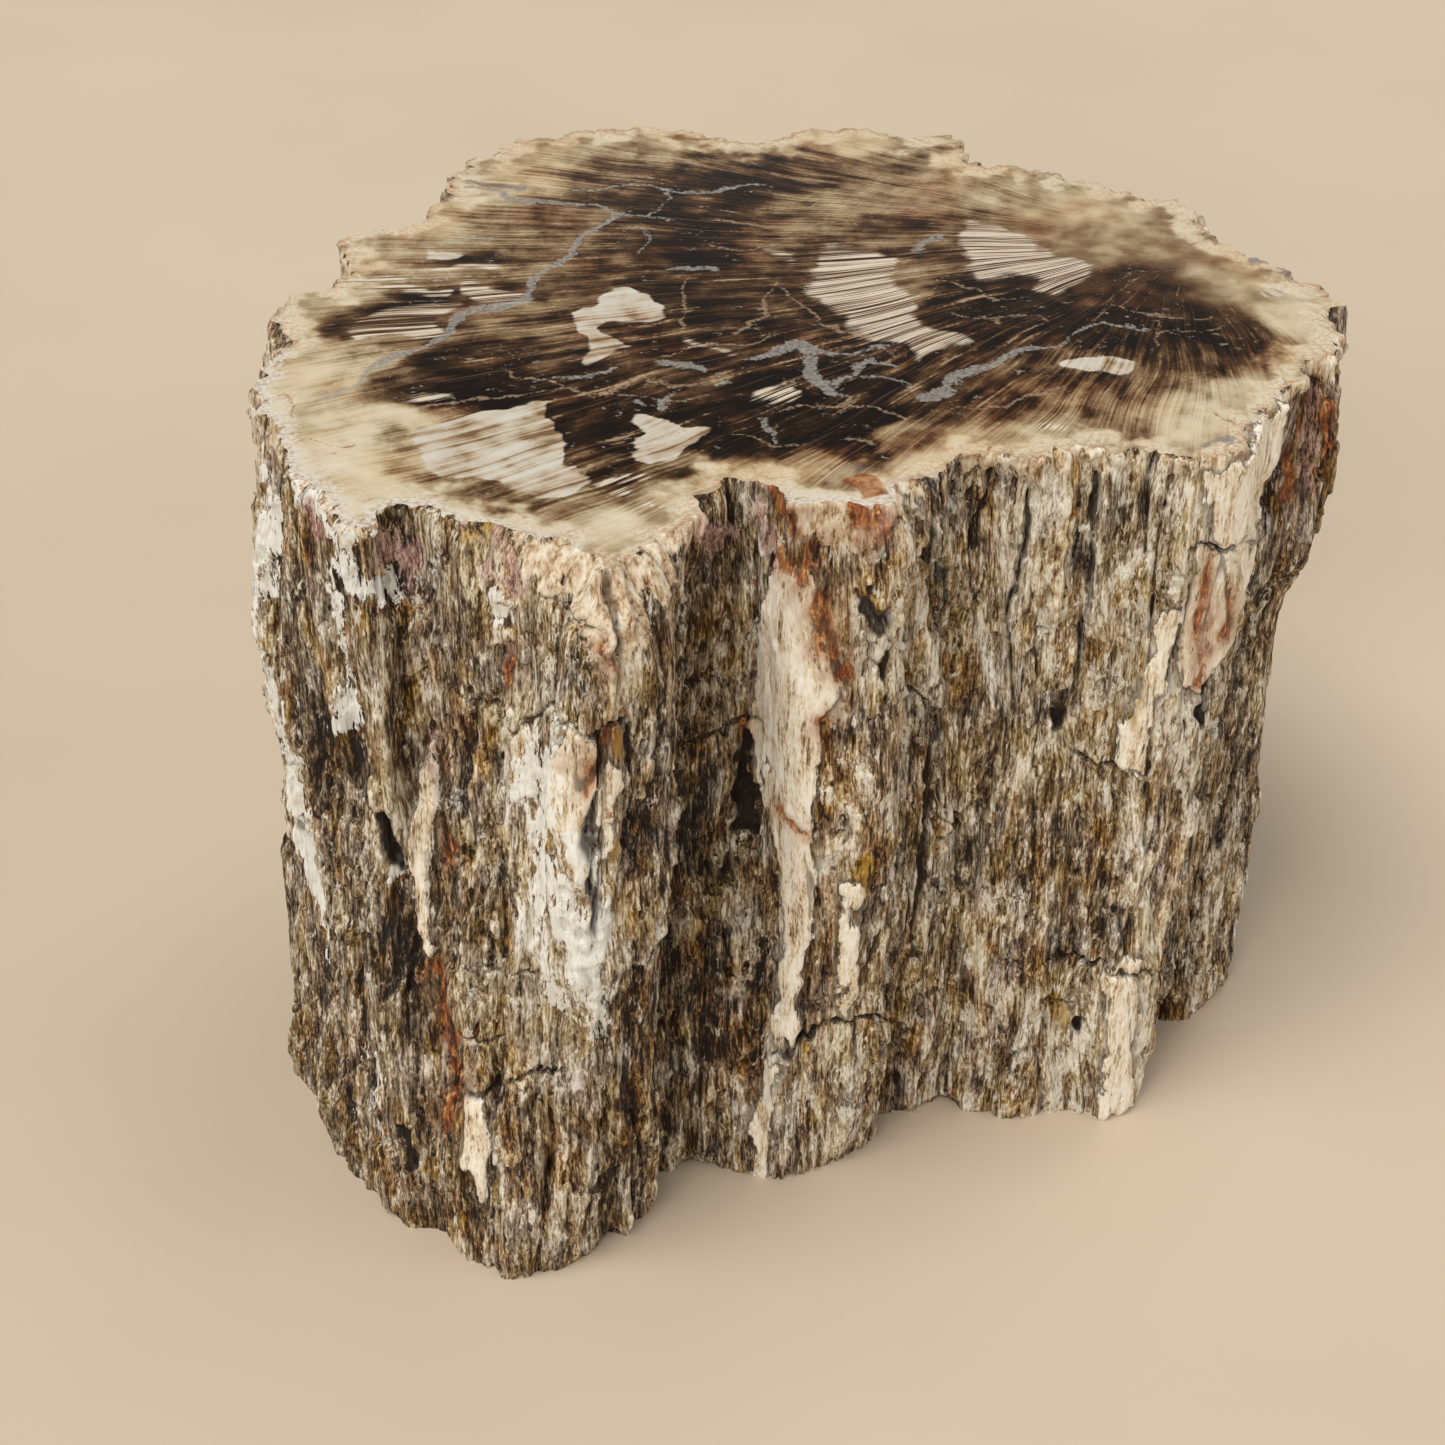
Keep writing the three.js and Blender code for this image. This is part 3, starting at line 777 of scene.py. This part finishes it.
def face_tone(points):
    """How pale the polished face is, from 0 to 1, at mm across and mm back."""
    samples = [
        (-46, 22.5, 0.6), (-48, 30.5, 0.75), (-30.5, 34, 0.42), (-32.5, 13, 0.38), (-31.5, -5, 0.34),
        (-37, 4, 0.45), (-19.5, 25.5, 0.22), (-11.5, 22.5, 0.12), (-26, 50, 0.35), (-31.5, 53.5, 0.65),
        (-19, 57, 0.6), (-11.5, 51.5, 0.3), (-4.5, 46, 0.12), (-14.5, 42.5, 0.2), (2.5, 57, 0.35),
        (11.5, 59, 0.8), (16.5, 53.5, 0.45), (9, 39, 0.55), (19, 42.5, 0.55), (30, 42.5, 0.6),
        (43, 35.5, 0.7), (49, 29, 0.55), (60.5, 13, 0.65), (45.5, 10, 0.2), (51.5, -2, 0.08),
        (56.5, -2, 0.2), (63.5, 1, 0.8), (39, -2, 0.12), (26.5, -2, 0.15), (14.5, 10, 0.5),
        (8.5, 29, 0.4), (-1, 22.5, 0.35), (-3.5, 10, 0.25), (1, -2, 0.18), (-11.5, -2, 0.17),
        (-23.5, -16, 0.2), (-16, -16, 0.28), (-28, -21.5, 0.15), (-4, -21.5, 0.08), (3, -21.5, 0.03),
        (9, -24, 0.03), (-4, -31.5, 0.06), (6.5, -31.5, 0.06), (-11, -31.5, 0.1), (-20.5, -31.5, 0.03),
        (-43, -16, 0.2), (-47.5, -18.5, 0.5), (-49, -26.5, 0.85), (19, -21.5, 0.25), (25, -21.5, 0.35),
        (36.5, -26.5, 0.5), (48, -26.5, 0.8), (24, -31.5, 0.62), (12.5, -31.5, 0.5), (2.5, -39, 0.62),
        (-16.5, -46, 0.6), (-39, -9, 0.22), (-34, -13, 0.16), (-30, 24, 0.42), (-26, 18, 0.33),
        (-14, 14, 0.18), (-13, 6, 0.2), (-10, 33, 0.15), (0, 35, 0.45), (-2, 52, 0.2), (6, 47, 0.35),
        (22, 6, 0.1), (30, 2, 0.1), (18, 30, 0.35), (38, 24, 0.5), (32, -12, 0.3), (42, -16, 0.35),
        (50, -12, 0.3), (54, -20, 0.75), (30, -32, 0.75), (16, -38, 0.85), (-8, -40, 0.65),
        (-22, -50, 0.85), (-30, -48, 0.7), (-48, -36, 0.9), (-56, -14, 0.85), (-54, -2, 0.5),
        (-58, 10, 0.7), (-52, 18, 0.6), (-36, 44, 0.7), (-38, 30, 0.5), (-24, 42, 0.35),
        (-14, -38, 0.35), (-24, -38, 0.3), (-46, 2, 0.35), (-42, -3, 0.4), (-52, -10, 0.6),
    ]
    return spread(points, samples, 2.2)


def rim_distance(points, rim):
    """How far each point is from the rim of the polished face, in mm."""
    distance = np.empty(len(points))
    batch = 5000
    for start in range(0, len(points), batch):
        some = points[start:start + batch]
        apart = some[:, None, :2] - rim[None, :, :2]
        distance[start:start + batch] = np.sqrt(np.square(apart).sum(axis=2).min(axis=1))
    return distance


def store(mesh, name, *channels):
    """Keeps up to three numbers for each point as one attribute of the mesh."""
    values = np.zeros((len(mesh.vertices), 3), dtype=np.float32)
    for i, channel in enumerate(channels):
        values[:, i] = channel
    attribute = mesh.attributes.new(name, "FLOAT_VECTOR", "POINT")
    attribute.data.foreach_set("vector", values.ravel())


def store_wall(mesh):
    """Marks, painted light and shade from the relief, and tone of the wall, for its material."""
    def whole(field):
        values = np.zeros(len(mesh.vertices))
        values[:wall_count] = field.ravel()
        return values

    store(mesh, "wall_pale", whole(ragged["crust"]), whole(ragged["slab"]), whole(ragged["rind"]))
    store(mesh, "wall_stain", whole(ragged["rust"]), whole(ragged["pink"]), whole(ragged["mustard"]))
    store(mesh, "wall_dark", whole(ragged["pit"]), whole(ragged["crack"]), whole(splits + breaks))
    # Painted light and shade: how far the wall stands above or sinks below its surroundings, which makes its
    # colour paler or darker.
    hollow = relief - soften(relief, 6.0, 8.0)
    store(mesh, "wall_painted_shade_and_tone", whole(hollow), whole(wall_tone()))


def store_face(mesh):
    """Marks and tone of the polished face, for its material."""
    spots = np.empty(len(mesh.vertices) * 3)
    mesh.vertices.foreach_get("co", spots)
    rim_and_face = np.arange(wall_count - COLUMNS, wall_count + face_count)
    points = spots.reshape(-1, 3)[rim_and_face, :2] / MM
    marks = face_marks(points)

    def whole(field):
        values = np.zeros(len(mesh.vertices))
        values[rim_and_face] = field
        return values

    from_rim = np.minimum(rim_distance(points, surface[-1]), 30.0)
    tone = face_tone(points) - 0.3 * smooth(marks["shade"], -3.0, 0.8)
    store(mesh, "face_ground", whole(tone), whole(from_rim), whole(marks["smudge"]))
    store(mesh, "face_pale", whole(marks["patch"]), whole(marks["tan"]), whole(marks["amber"]))
    store(mesh, "face_chalk", whole(marks["chalk"]))
    store(mesh, "face_line", whole(marks["vein"]), whole(marks["thread"]), whole(marks["seam"]))


store_wall(mesh)
store_face(mesh)


# ---------------------------------------------------------------- material nodes

def colour(red, green, blue):
    """A colour given as it looks on a screen, from 0 to 255, in linear light."""
    linear = [((c / 255 + 0.055) / 1.055) ** 2.4 if c > 10 else c / 3295 for c in (red, green, blue)]
    return (*linear, 1)


def node(tree, kind, *inputs, **settings):
    """A node of a material, with its settings, and its inputs in order."""
    made = tree.nodes.new("ShaderNode" + kind)
    for name, value in settings.items():
        setattr(made, name, value)
    for socket, value in zip(made.inputs, inputs):
        put(socket, value)
    return made


def put(socket, value):
    """Links an input to a value, or sets it."""
    if isinstance(value, Value):
        socket.id_data.links.new(value.socket, socket)
    else:
        socket.default_value = value


class Value:
    """A number, place or colour that a material's nodes work out at each point of the surface."""

    def __init__(self, socket):
        self.socket = socket

    def into(self, kind, *inputs, **settings):
        """What a node makes of this value and more inputs."""
        return Value(node(self.socket.id_data, kind, self, *inputs, **settings).outputs[0])

    def __add__(self, other):
        return self.into("Math", other, operation="ADD")

    def __sub__(self, other):
        return self.into("Math", other, operation="SUBTRACT")

    def __mul__(self, other):
        return self.into("Math", other, operation="MULTIPLY")

    def __truediv__(self, other):
        return self.into("Math", other, operation="DIVIDE")

    __radd__, __rmul__ = __add__, __mul__

    def most(self, other):
        return self.into("Math", other, operation="MAXIMUM")

    def step(self, low, high):
        """A smooth step from 0 at low to 1 at high."""
        return self.into("MapRange", low, high, 0.0, 1.0, interpolation_type="SMOOTHSTEP")

    def shifted(self, place):
        return self.into("VectorMath", place, operation="ADD")

    def scaled(self, factors):
        return self.into("VectorMath", factors, operation="MULTIPLY")

    def ramp(self, *stops):
        """A colour from stops of (value, red, green, blue)."""
        made = node(self.socket.id_data, "ValToRGB", self)
        elements = made.color_ramp.elements
        for end, (place, *shade) in ((0, stops[0]), (1, stops[-1])):
            elements[end].position = place
            elements[end].color = colour(*shade)
        for place, *shade in stops[1:-1]:
            elements.new(place).color = colour(*shade)
        return Value(made.outputs[0])

    def under(self, mask, shade, how="MIX"):
        """This colour with another over it, as far as a mask says."""
        mix = node(self.socket.id_data, "Mix", mask, data_type="RGBA", blend_type=how)
        put(mix.inputs[6], self)
        put(mix.inputs[7], shade if isinstance(shade, Value) else colour(*shade))
        return Value(mix.outputs[2])


class Graph:
    """One material, and the place that it looks at, in mm in the row frame."""

    def __init__(self, name):
        self.material = bpy.data.materials.new(name)
        self.material.use_nodes = True
        self.tree = self.material.node_tree
        self.place = Value(node(self.tree, "TexCoord").outputs["Object"]).scaled((1000, 1000, 1000))

    def noise_node(self, place, detail, rough):
        """Noise with features about one unit of the place wide."""
        made = node(self.tree, "TexNoise")
        put(made.inputs["Vector"], place)
        made.inputs["Scale"].default_value = 1.0
        made.inputs["Detail"].default_value = detail
        made.inputs["Roughness"].default_value = rough
        return made

    def noise(self, fineness, detail=3.0, rough=0.5, shift=(0, 0, 0)):
        """Noise round 0, mostly from -0.2 to 0.2, with so many features to the mm each way."""
        place = self.place.scaled(fineness).shifted(shift)
        return Value(self.noise_node(place, detail, rough).outputs["Fac"]) - 0.5

    def wander(self, fineness, reach):
        """Moves the places of all later noise about, up to half the reach either way."""
        slow = Value(self.noise_node(self.place.scaled(fineness), 1.0, 0.5).outputs["Color"])
        self.place = self.place.shifted(slow.shifted((-0.5, -0.5, -0.5)).scaled(reach))

    def channels(self, name):
        """The three numbers that the mesh keeps under a name."""
        kept = node(self.tree, "Attribute", attribute_name=name, attribute_type="GEOMETRY")
        apart = node(self.tree, "SeparateXYZ", Value(kept.outputs["Vector"]))
        return [Value(socket) for socket in apart.outputs]

    def finish(self, base, rough, height, depth, specular=0.5):
        """Colour, roughness, a bump some metres deep, and the specular level."""
        shader = self.tree.nodes["Principled BSDF"]
        shader.inputs["Specular IOR Level"].default_value = specular
        put(shader.inputs["Base Color"], base)
        put(shader.inputs["Roughness"], rough)
        bump = node(self.tree, "Bump")
        bump.inputs["Strength"].default_value = 1.0
        bump.inputs["Distance"].default_value = depth
        put(bump.inputs["Height"], height)
        put(shader.inputs["Normal"], Value(bump.outputs[0]))
        return self.material


# ---------------------------------------------------------------- the wall's material

def bark(g):
    """The mottled brown ground, with painted shade in the relief's recesses and painted light on its ridges.
    """
    halo = g.slab.step(-2.0, 0.5).most(g.crust.step(-2.0, 0.5))
    pale = 0.8 * g.tone + 0.08 * halo + 1.4 * g.speckle + 1.1 * g.crumbs + 2.0 * g.fibres
    # Painted shade and light: the colour is darker where the relief sinks and paler where it stands up.
    pale += 1.05 * g.patchy + 1.2 * g.noise((0.16, 0.16, 0.08), 3.0, 0.55) + 0.22 * g.hollow
    base = (pale + 0.07).ramp(
        (0.0, 34, 24, 14), (0.16, 76, 57, 34), (0.34, 122, 99, 68),
        (0.54, 166, 146, 112), (0.76, 210, 197, 170), (1.0, 238, 231, 214),
    )
    warm = g.noise((0.2, 0.2, 0.06)).step(-0.04, 0.12)
    base = base.under(0.5 * warm, (172, 130, 78), "SOFT_LIGHT")
    vivid = 1.8 * g.noise((0.3, 0.3, 0.14), shift=(7, 1, 4)) + 0.9
    return Value(node(g.tree, "HueSaturation", 0.5, vivid, 1.0, 1.0, base).outputs[0])


def chalky(g, base):
    """Small chalky crumbs, most of all where the wall is pale."""
    chalk = 0.1 * g.tone + 0.55 * g.patchy + 0.3 * g.speckle + 0.15 * g.crumbs
    shade = (g.crumbs + 0.5).ramp((0.35, 196, 186, 164), (0.6, 232, 228, 216))
    return base.under(0.75 * chalk.step(0.085, 0.13), shade)


def with_rind(g, base):
    """The cream rind below the rim."""
    shade = (g.noise((0.6, 0.6, 0.4), 4.0, 0.65) + 0.9 * g.speckle + 0.5).ramp(
        (0.28, 104, 76, 50), (0.4, 182, 152, 118), (0.52, 216, 197, 167), (0.7, 238, 231, 214),
    )
    return base.under((g.rind + g.edge).step(-0.35, 0.45), shade)


def with_slabs(g, base):
    """The smooth pale slabs, with painted shade just outside their raised edges; and where they are."""
    tone = g.noise((0.5, 0.5, 0.16), 4.0, 0.65) + 0.6 * g.crumbs + 0.8 * g.fibres + 0.6 * g.speckle
    shade = (tone + 0.5).ramp(
        (0.24, 110, 84, 54), (0.35, 190, 168, 136), (0.47, 225, 210, 184), (0.64, 240, 234, 220),
    )
    inside_slab = g.slab + 0.6 * g.edge
    mask = inside_slab.step(-0.15, 0.15)
    # Painted shade: dark brown just outside each slab's edge, where it stands out from the wall.
    return base.under(0.6 * inside_slab.step(-1.0, -0.1), (72, 52, 32)).under(mask, shade), mask


def with_crust(g, base):
    """The chalky white crust."""
    shade = (g.speckle + 0.5).ramp((0.3, 190, 184, 170), (0.5, 240, 238, 230))
    return base.under(0.95 * (g.crust + 2.0 * g.edge).step(0.0, 0.5), shade)


def with_tints(g, base):
    """Pink and mustard stains."""
    shade = (0.8 * g.crumbs + g.speckle + 0.5).ramp(
        (0.3, 96, 68, 66), (0.46, 158, 116, 108), (0.64, 218, 186, 170),
    )
    base = base.under(0.75 * (g.pink + 1.6 * g.edge).step(-0.4, 0.8), shade)
    shade = (g.speckle + 0.5).ramp((0.3, 128, 88, 22), (0.7, 206, 168, 66))
    return base.under(0.7 * (g.mustard + 1.4 * g.edge).step(-0.2, 0.6), shade)


def with_rust(g, base):
    """Rust stains with a faint halo, and rusty flecks all over; and where the stains are."""
    shade = (g.noise((0.7, 0.7, 0.4), 4.0, 0.65) + 1.6 * g.speckle + 0.5).ramp(
        (0.26, 48, 26, 15), (0.4, 98, 50, 24), (0.54, 148, 80, 35), (0.66, 180, 120, 62),
        (0.8, 214, 178, 132),
    )
    base = base.under(0.55 * (g.rust + 2.0 * g.edge).step(-2.2, 0.6), (176, 116, 60), "MULTIPLY")
    mask = 0.9 * (g.rust + 1.3 * g.edge).step(-0.15, 0.45)
    flecks = g.noise((0.45, 0.45, 0.28), 4.0, 0.7, (40, 9, 3)).step(0.14, 0.2)
    return base.under(mask, shade).under(0.7 * flecks, shade), mask


def with_cracks(g, base):
    """Pits, cracks and splits, painted near black: painted shade in these recesses."""
    # Painted shade: near black inside the pits, cracks and splits, which are sunk into the wall.
    dark = g.pit.step(-0.3, 0.4).most(0.9 * g.crack.step(-0.2, 0.2))
    return base.under(0.94 * dark.most(0.65 * g.split.step(0.3, 0.9)), (34, 23, 14))


def wall_material():
    """Weathered fossil bark: mottled fibres, pale slabs, chalky crust and rust."""
    g = Graph("weathered_wall")
    g.wander((0.12, 0.12, 0.05), (3.0, 3.0, 4.0))
    g.speckle = g.noise((1.7, 1.7, 0.32), 4.0, 0.72)
    g.crumbs = g.noise((4.2, 4.2, 1.1), 2.0, 0.6)
    g.fibres = g.noise((1.9, 1.9, 0.13), 4.0, 0.7)
    g.patchy = g.noise((0.5, 0.5, 0.2), 5.0, 0.62)
    # The first channel is the relief's painted light and shade.
    g.hollow, g.tone, _ = g.channels("wall_painted_shade_and_tone")
    g.pit, g.crack, g.split = g.channels("wall_dark")
    g.crust, g.slab, g.rind = g.channels("wall_pale")
    g.rust, g.pink, g.mustard = g.channels("wall_stain")
    g.edge = 2.6 * g.speckle + 1.2 * g.crumbs + 2.0 * g.fibres  # what makes the marks' edges ragged

    base, slab = with_slabs(g, with_rind(g, chalky(g, bark(g))))
    base, rust = with_rust(g, with_tints(g, with_crust(g, base)))
    rough = 0.1 * g.speckle + -0.12 * slab + -0.15 * rust + 0.87
    bump = 0.6 * g.speckle + 0.25 * g.crumbs + 0.6 * g.fibres + 0.725
    return g.finish(with_cracks(g, base), rough, bump * (-0.75 * slab + 1.0), WALL_BUMP, 0.35)


# ---------------------------------------------------------------- the polished face's material

def rays(g, fine, long):
    """Noise drawn out along the rays: fine steps round the pith, long steps out from it."""
    place = (g.across * fine).into("CombineXYZ", g.back * fine, g.reach * (1 / long))
    return Value(g.noise_node(place, 3.0, 0.6).outputs["Fac"]) - 0.5


def agate(g):
    """How pale the ground is, from 0 to 1: clouds and rays, and cream at the rim."""
    away = g.reach.step(14.0, 34.0)
    pale = g.tone + 0.25 * (rays(g, 24.0, 22.0) * away) + 0.75 * g.mottle
    pale += 1.2 * ((g.flames - 0.02) * (pale.step(0.6, 0.3) * away))
    middling = pale.step(0.0, 0.4) * pale.step(1.0, 0.6)
    depth = (0.8 * middling + 0.2) * (-0.7 * g.rim + 1.0) * away
    pale += (0.35 * g.broad + 0.8 * g.fine + 0.3 * g.small) * depth
    return pale.most(0.95 * g.rim + 0.3 * (g.mottle - 0.1))


def ground(g, pale):
    """Cream through tan and brown to near black, warmer in places."""
    base = pale.ramp(
        (0.0, 19, 11, 5), (0.14, 40, 25, 12), (0.3, 82, 57, 34), (0.48, 134, 108, 78),
        (0.66, 180, 162, 128), (0.82, 208, 194, 164), (1.0, 222, 211, 187),
    )
    brown = g.noise((0.07, 0.07, 1), 2.0, shift=(3, 8, 0)).step(-0.05, 0.15)
    return base.under(0.35 * brown, (168, 112, 66), "SOFT_LIGHT")


def with_patches(g, base):
    """Streaked tan patches and pale ones, both cut up by the rays; and where the pale ones are."""
    ragged_edge = 3.4 * g.fine + g.small
    shade = (0.7 * g.broad + g.fine + 0.5).ramp(
        (0.4, 66, 43, 28), (0.46, 140, 115, 87), (0.55, 226, 214, 194),
    )
    base = base.under(0.92 * (g.tan + 0.8 * ragged_edge).step(-0.5, 0.6), shade)
    shade = (1.2 * g.broad + 0.6 * g.fine + g.mottle + 0.5).ramp(
        (0.24, 118, 88, 60), (0.36, 170, 146, 116), (0.5, 197, 186, 166), (0.75, 210, 205, 193),
    )
    mask = (g.patch + 0.28 * ragged_edge).step(-0.2, 0.25)
    return base.under(mask, shade), mask


def with_bits(g, base, pale):
    """Threads, crumbs, bright rays and flakes in the dark wood."""
    dark = pale.step(0.42, 0.15)
    base = base.under(0.75 * (g.thread + 1.6 * g.small).step(-0.2, 0.15), (158, 134, 108))
    bits = g.noise((0.6, 0.9, 1), 5.0, 0.7, (5, 2, 7)).step(0.09, 0.14) * dark
    bits *= g.noise((0.12, 0.16, 1), 2.0, shift=(5, 2, 7)).step(-0.02, 0.1)
    base = base.under(0.8 * bits, (g.small + 0.5).ramp((0.35, 96, 84, 72), (0.6, 184, 172, 156)))
    streaks = g.fine.step(0.06, 0.16) * dark * g.broad.step(-0.05, 0.1)
    base = base.under(0.5 * streaks, (126, 94, 64))
    flakes = (0.5 * g.small + 0.35 * g.fine + g.flames).step(0.15, 0.2) * pale.step(0.75, 0.5)
    return base.under(0.5 * flakes, (g.fine + 0.5).ramp((0.35, 120, 92, 66), (0.6, 196, 172, 142)))


def with_veins(g, base):
    """Grey chalcedony in old cracks; and where it is."""
    mask = (g.vein - 0.1 + 2.0 * g.small).step(-0.15, 0.3)
    return base.under(0.8 * mask, (g.small + 0.5).ramp((0.3, 100, 97, 92), (0.65, 170, 165, 156))), mask


def with_rim_stains(g, base):
    """Warm blushes, combed rays and blue grey smudges near the rim."""
    flush = (g.small + 0.3 * g.mottle).step(0.01, 0.09) * g.from_rim.step(6.0, 0.5)
    base = base.under(0.45 * flush, (176, 128, 88))
    comb = g.broad.step(0.05, 0.12) * g.from_rim.step(4.5, 1.0)
    base = base.under(0.35 * comb, (140, 104, 66))
    return base.under(0.65 * (g.smudge + 2.4 * g.small).step(-0.2, 0.8), (96, 98, 106))


def with_seams(g, base):
    """Thin rusty cracks; and where they are."""
    mask = 0.75 * (g.seam + g.small).step(-0.15, 0.12)
    return base.under(mask, (g.mottle + 0.5).ramp((0.4, 80, 44, 26), (0.6, 172, 104, 52))), mask


def with_brown_crust(g, base):
    """Brown crust on parts of the rim; and where it is."""
    mask = (g.from_rim + -3.0 * g.small).step(1.2, 0.1)
    mask *= g.noise((0.12, 0.12, 1), shift=(1, 4, 2)).step(-0.15, 0.1)
    return base.under(0.7 * mask, (g.mottle + 0.5).ramp((0.35, 112, 74, 44), (0.6, 184, 142, 98))), mask


def with_frost(g, base):
    """White chalk along the front rim."""
    frost = g.chalk.step(-4.0, -1.0) * (g.from_rim + -9.0 * g.small).step(2.4, 0.4)
    return base.under(0.8 * frost, (g.small + 0.5).ramp((0.4, 150, 124, 98), (0.52, 224, 219, 207)))


def with_amber(g, base):
    """The amber spot on the front rim."""
    glow = (0.5 * g.small + g.mottle + 0.5).ramp(
        (0.36, 74, 44, 26), (0.5, 142, 82, 40), (0.68, 200, 156, 110),
    )
    return base.under(0.95 * (g.amber + 1.4 * g.small).step(-0.2, 0.3), glow)


def face_material():
    """The polished end: cloudy agate from cream to near black, rays, pale patches and veins."""
    g = Graph("polished_face")
    g.wander((0.05, 0.05, 0.05), (5.0, 5.0, 0.0))
    apart = node(g.tree, "SeparateXYZ", g.place.shifted((-PITH[0], -PITH[1], 0)))
    x, y = Value(apart.outputs["X"]), Value(apart.outputs["Y"])
    g.reach = (x * x + y * y).into("Math", operation="SQRT")
    g.across, g.back = x / g.reach, y / g.reach
    near, far = rays(g, 80.0, 22.0), rays(g, 200.0, 28.0)
    g.fine = (far - near) * g.reach.step(18.0, 55.0) + near
    g.broad = rays(g, 70.0, 30.0)
    g.flames = rays(g, 34.0, 9.0)
    g.mottle = g.noise((0.22, 0.22, 1))
    g.small = g.noise((1.6, 1.6, 1), 4.0, 0.65)
    g.tone, g.from_rim, g.smudge = g.channels("face_ground")
    g.patch, g.tan, g.amber = g.channels("face_pale")
    g.vein, g.thread, g.seam = g.channels("face_line")
    g.chalk = g.channels("face_chalk")[0]
    g.rim = (g.from_rim + -14.0 * g.mottle).step(8.5, 0.5)

    pale = agate(g)
    base, patch = with_patches(g, ground(g, pale))
    base, vein = with_veins(g, with_bits(g, base, pale))
    base, seam = with_seams(g, with_rim_stains(g, base))
    base, crust = with_brown_crust(g, base)
    base = with_amber(g, with_frost(g, base))
    rough = 0.16 * patch.most(g.rim) + 0.06 * g.small + 0.3 * crust + 0.15
    bump = 0.12 * g.small + 0.1 * g.mottle + -0.25 * patch + -0.2 * vein.most(seam)
    return g.finish(base, rough, bump, FACE_BUMP, 0.34)


mesh.materials.append(wall_material())
mesh.materials.append(face_material())
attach(stone, "root")
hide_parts(NODE)


# ---------------------------------------------------------------- floor, light and camera

def floor_material():
    """A pale matt floor, faintly uneven in colour."""
    g = Graph("pale_floor")
    cloud = g.noise((0.01, 0.01, 0.01))
    base = (cloud + 0.5).ramp((0.3, 203, 186, 163), (0.7, 209, 193, 170))
    return g.finish(base, 0.1 * cloud + 0.55, cloud, FLOOR_BUMP)


def add_floor():
    """A plain floor, so wide that its edge is never seen."""
    half = 40.0  # metres
    data = bpy.data.meshes.new("floor")
    corners = [(-half, -half, 0), (half, -half, 0), (half, half, 0), (-half, half, 0)]
    data.from_pydata(corners, [], [(0, 1, 2, 3)])
    data.materials.append(floor_material())
    floor = bpy.data.objects.new("floor", data)
    bpy.context.scene.collection.objects.link(floor)


def add_light(name, place, width, strength, tint):
    """A soft distant light, some degrees wide, that shines from a place towards the origin."""
    data = bpy.data.lights.new(name, "SUN")
    data.angle = math.radians(width)
    data.energy = strength
    data.color = tint
    light = bpy.data.objects.new(name, data)
    light.location = place
    light.rotation_euler = (-light.location).to_track_quat("-Z", "Y").to_euler()
    bpy.context.scene.collection.objects.link(light)


def add_world():
    """A soft room: pale walls, dim above them, and a pale ceiling."""
    walls, above_walls, ceiling = (0.62, 0.6, 0.57, 1), (0.1, 0.098, 0.095, 1), (0.5, 0.49, 0.475, 1)
    world = bpy.data.worlds.new("studio")
    world.use_nodes = True
    tree = world.node_tree
    direction = Value(node(tree, "TexCoord").outputs["Generated"])
    height = Value(node(tree, "SeparateXYZ", direction).outputs["Z"])
    ramp = node(tree, "ValToRGB", height)
    elements = ramp.color_ramp.elements
    elements[0].position, elements[0].color = 0.2, walls
    elements[1].position, elements[1].color = 1.0, ceiling
    for place in (0.42, 0.75):
        elements.new(place).color = above_walls
    put(tree.nodes["Background"].inputs["Color"], Value(ramp.outputs[0]))
    bpy.context.scene.world = world


def add_camera():
    """The camera, at the photograph's viewing angle."""
    data = bpy.data.cameras.new("camera")
    data.lens = CAMERA_LENS
    data.sensor_width = 36.0
    data.clip_start = 0.01
    camera = bpy.data.objects.new("camera", data)
    camera.location = [c * MM for c in CAMERA_PLACE]
    camera.rotation_euler = (math.radians(90 - CAMERA_DOWN), 0, 0)
    bpy.context.scene.collection.objects.link(camera)
    bpy.context.scene.camera = camera


add_floor()
add_world()
add_light("key", (-0.3, -0.25, 0.95), 28, 1.74, (1.0, 0.97, 0.93))
add_light("front", (-0.35, -0.95, 0.55), 30, 1.14, (1.0, 0.98, 0.95))
add_light("side", (0.9, -0.3, 0.55), 36, 0.58, (0.98, 0.98, 1.0))
add_light("back", (0.3, 0.4, 1.0), 24, 0.36, (1.0, 0.98, 0.95))
add_camera()
bpy.context.scene.view_settings.view_transform = "Standard"
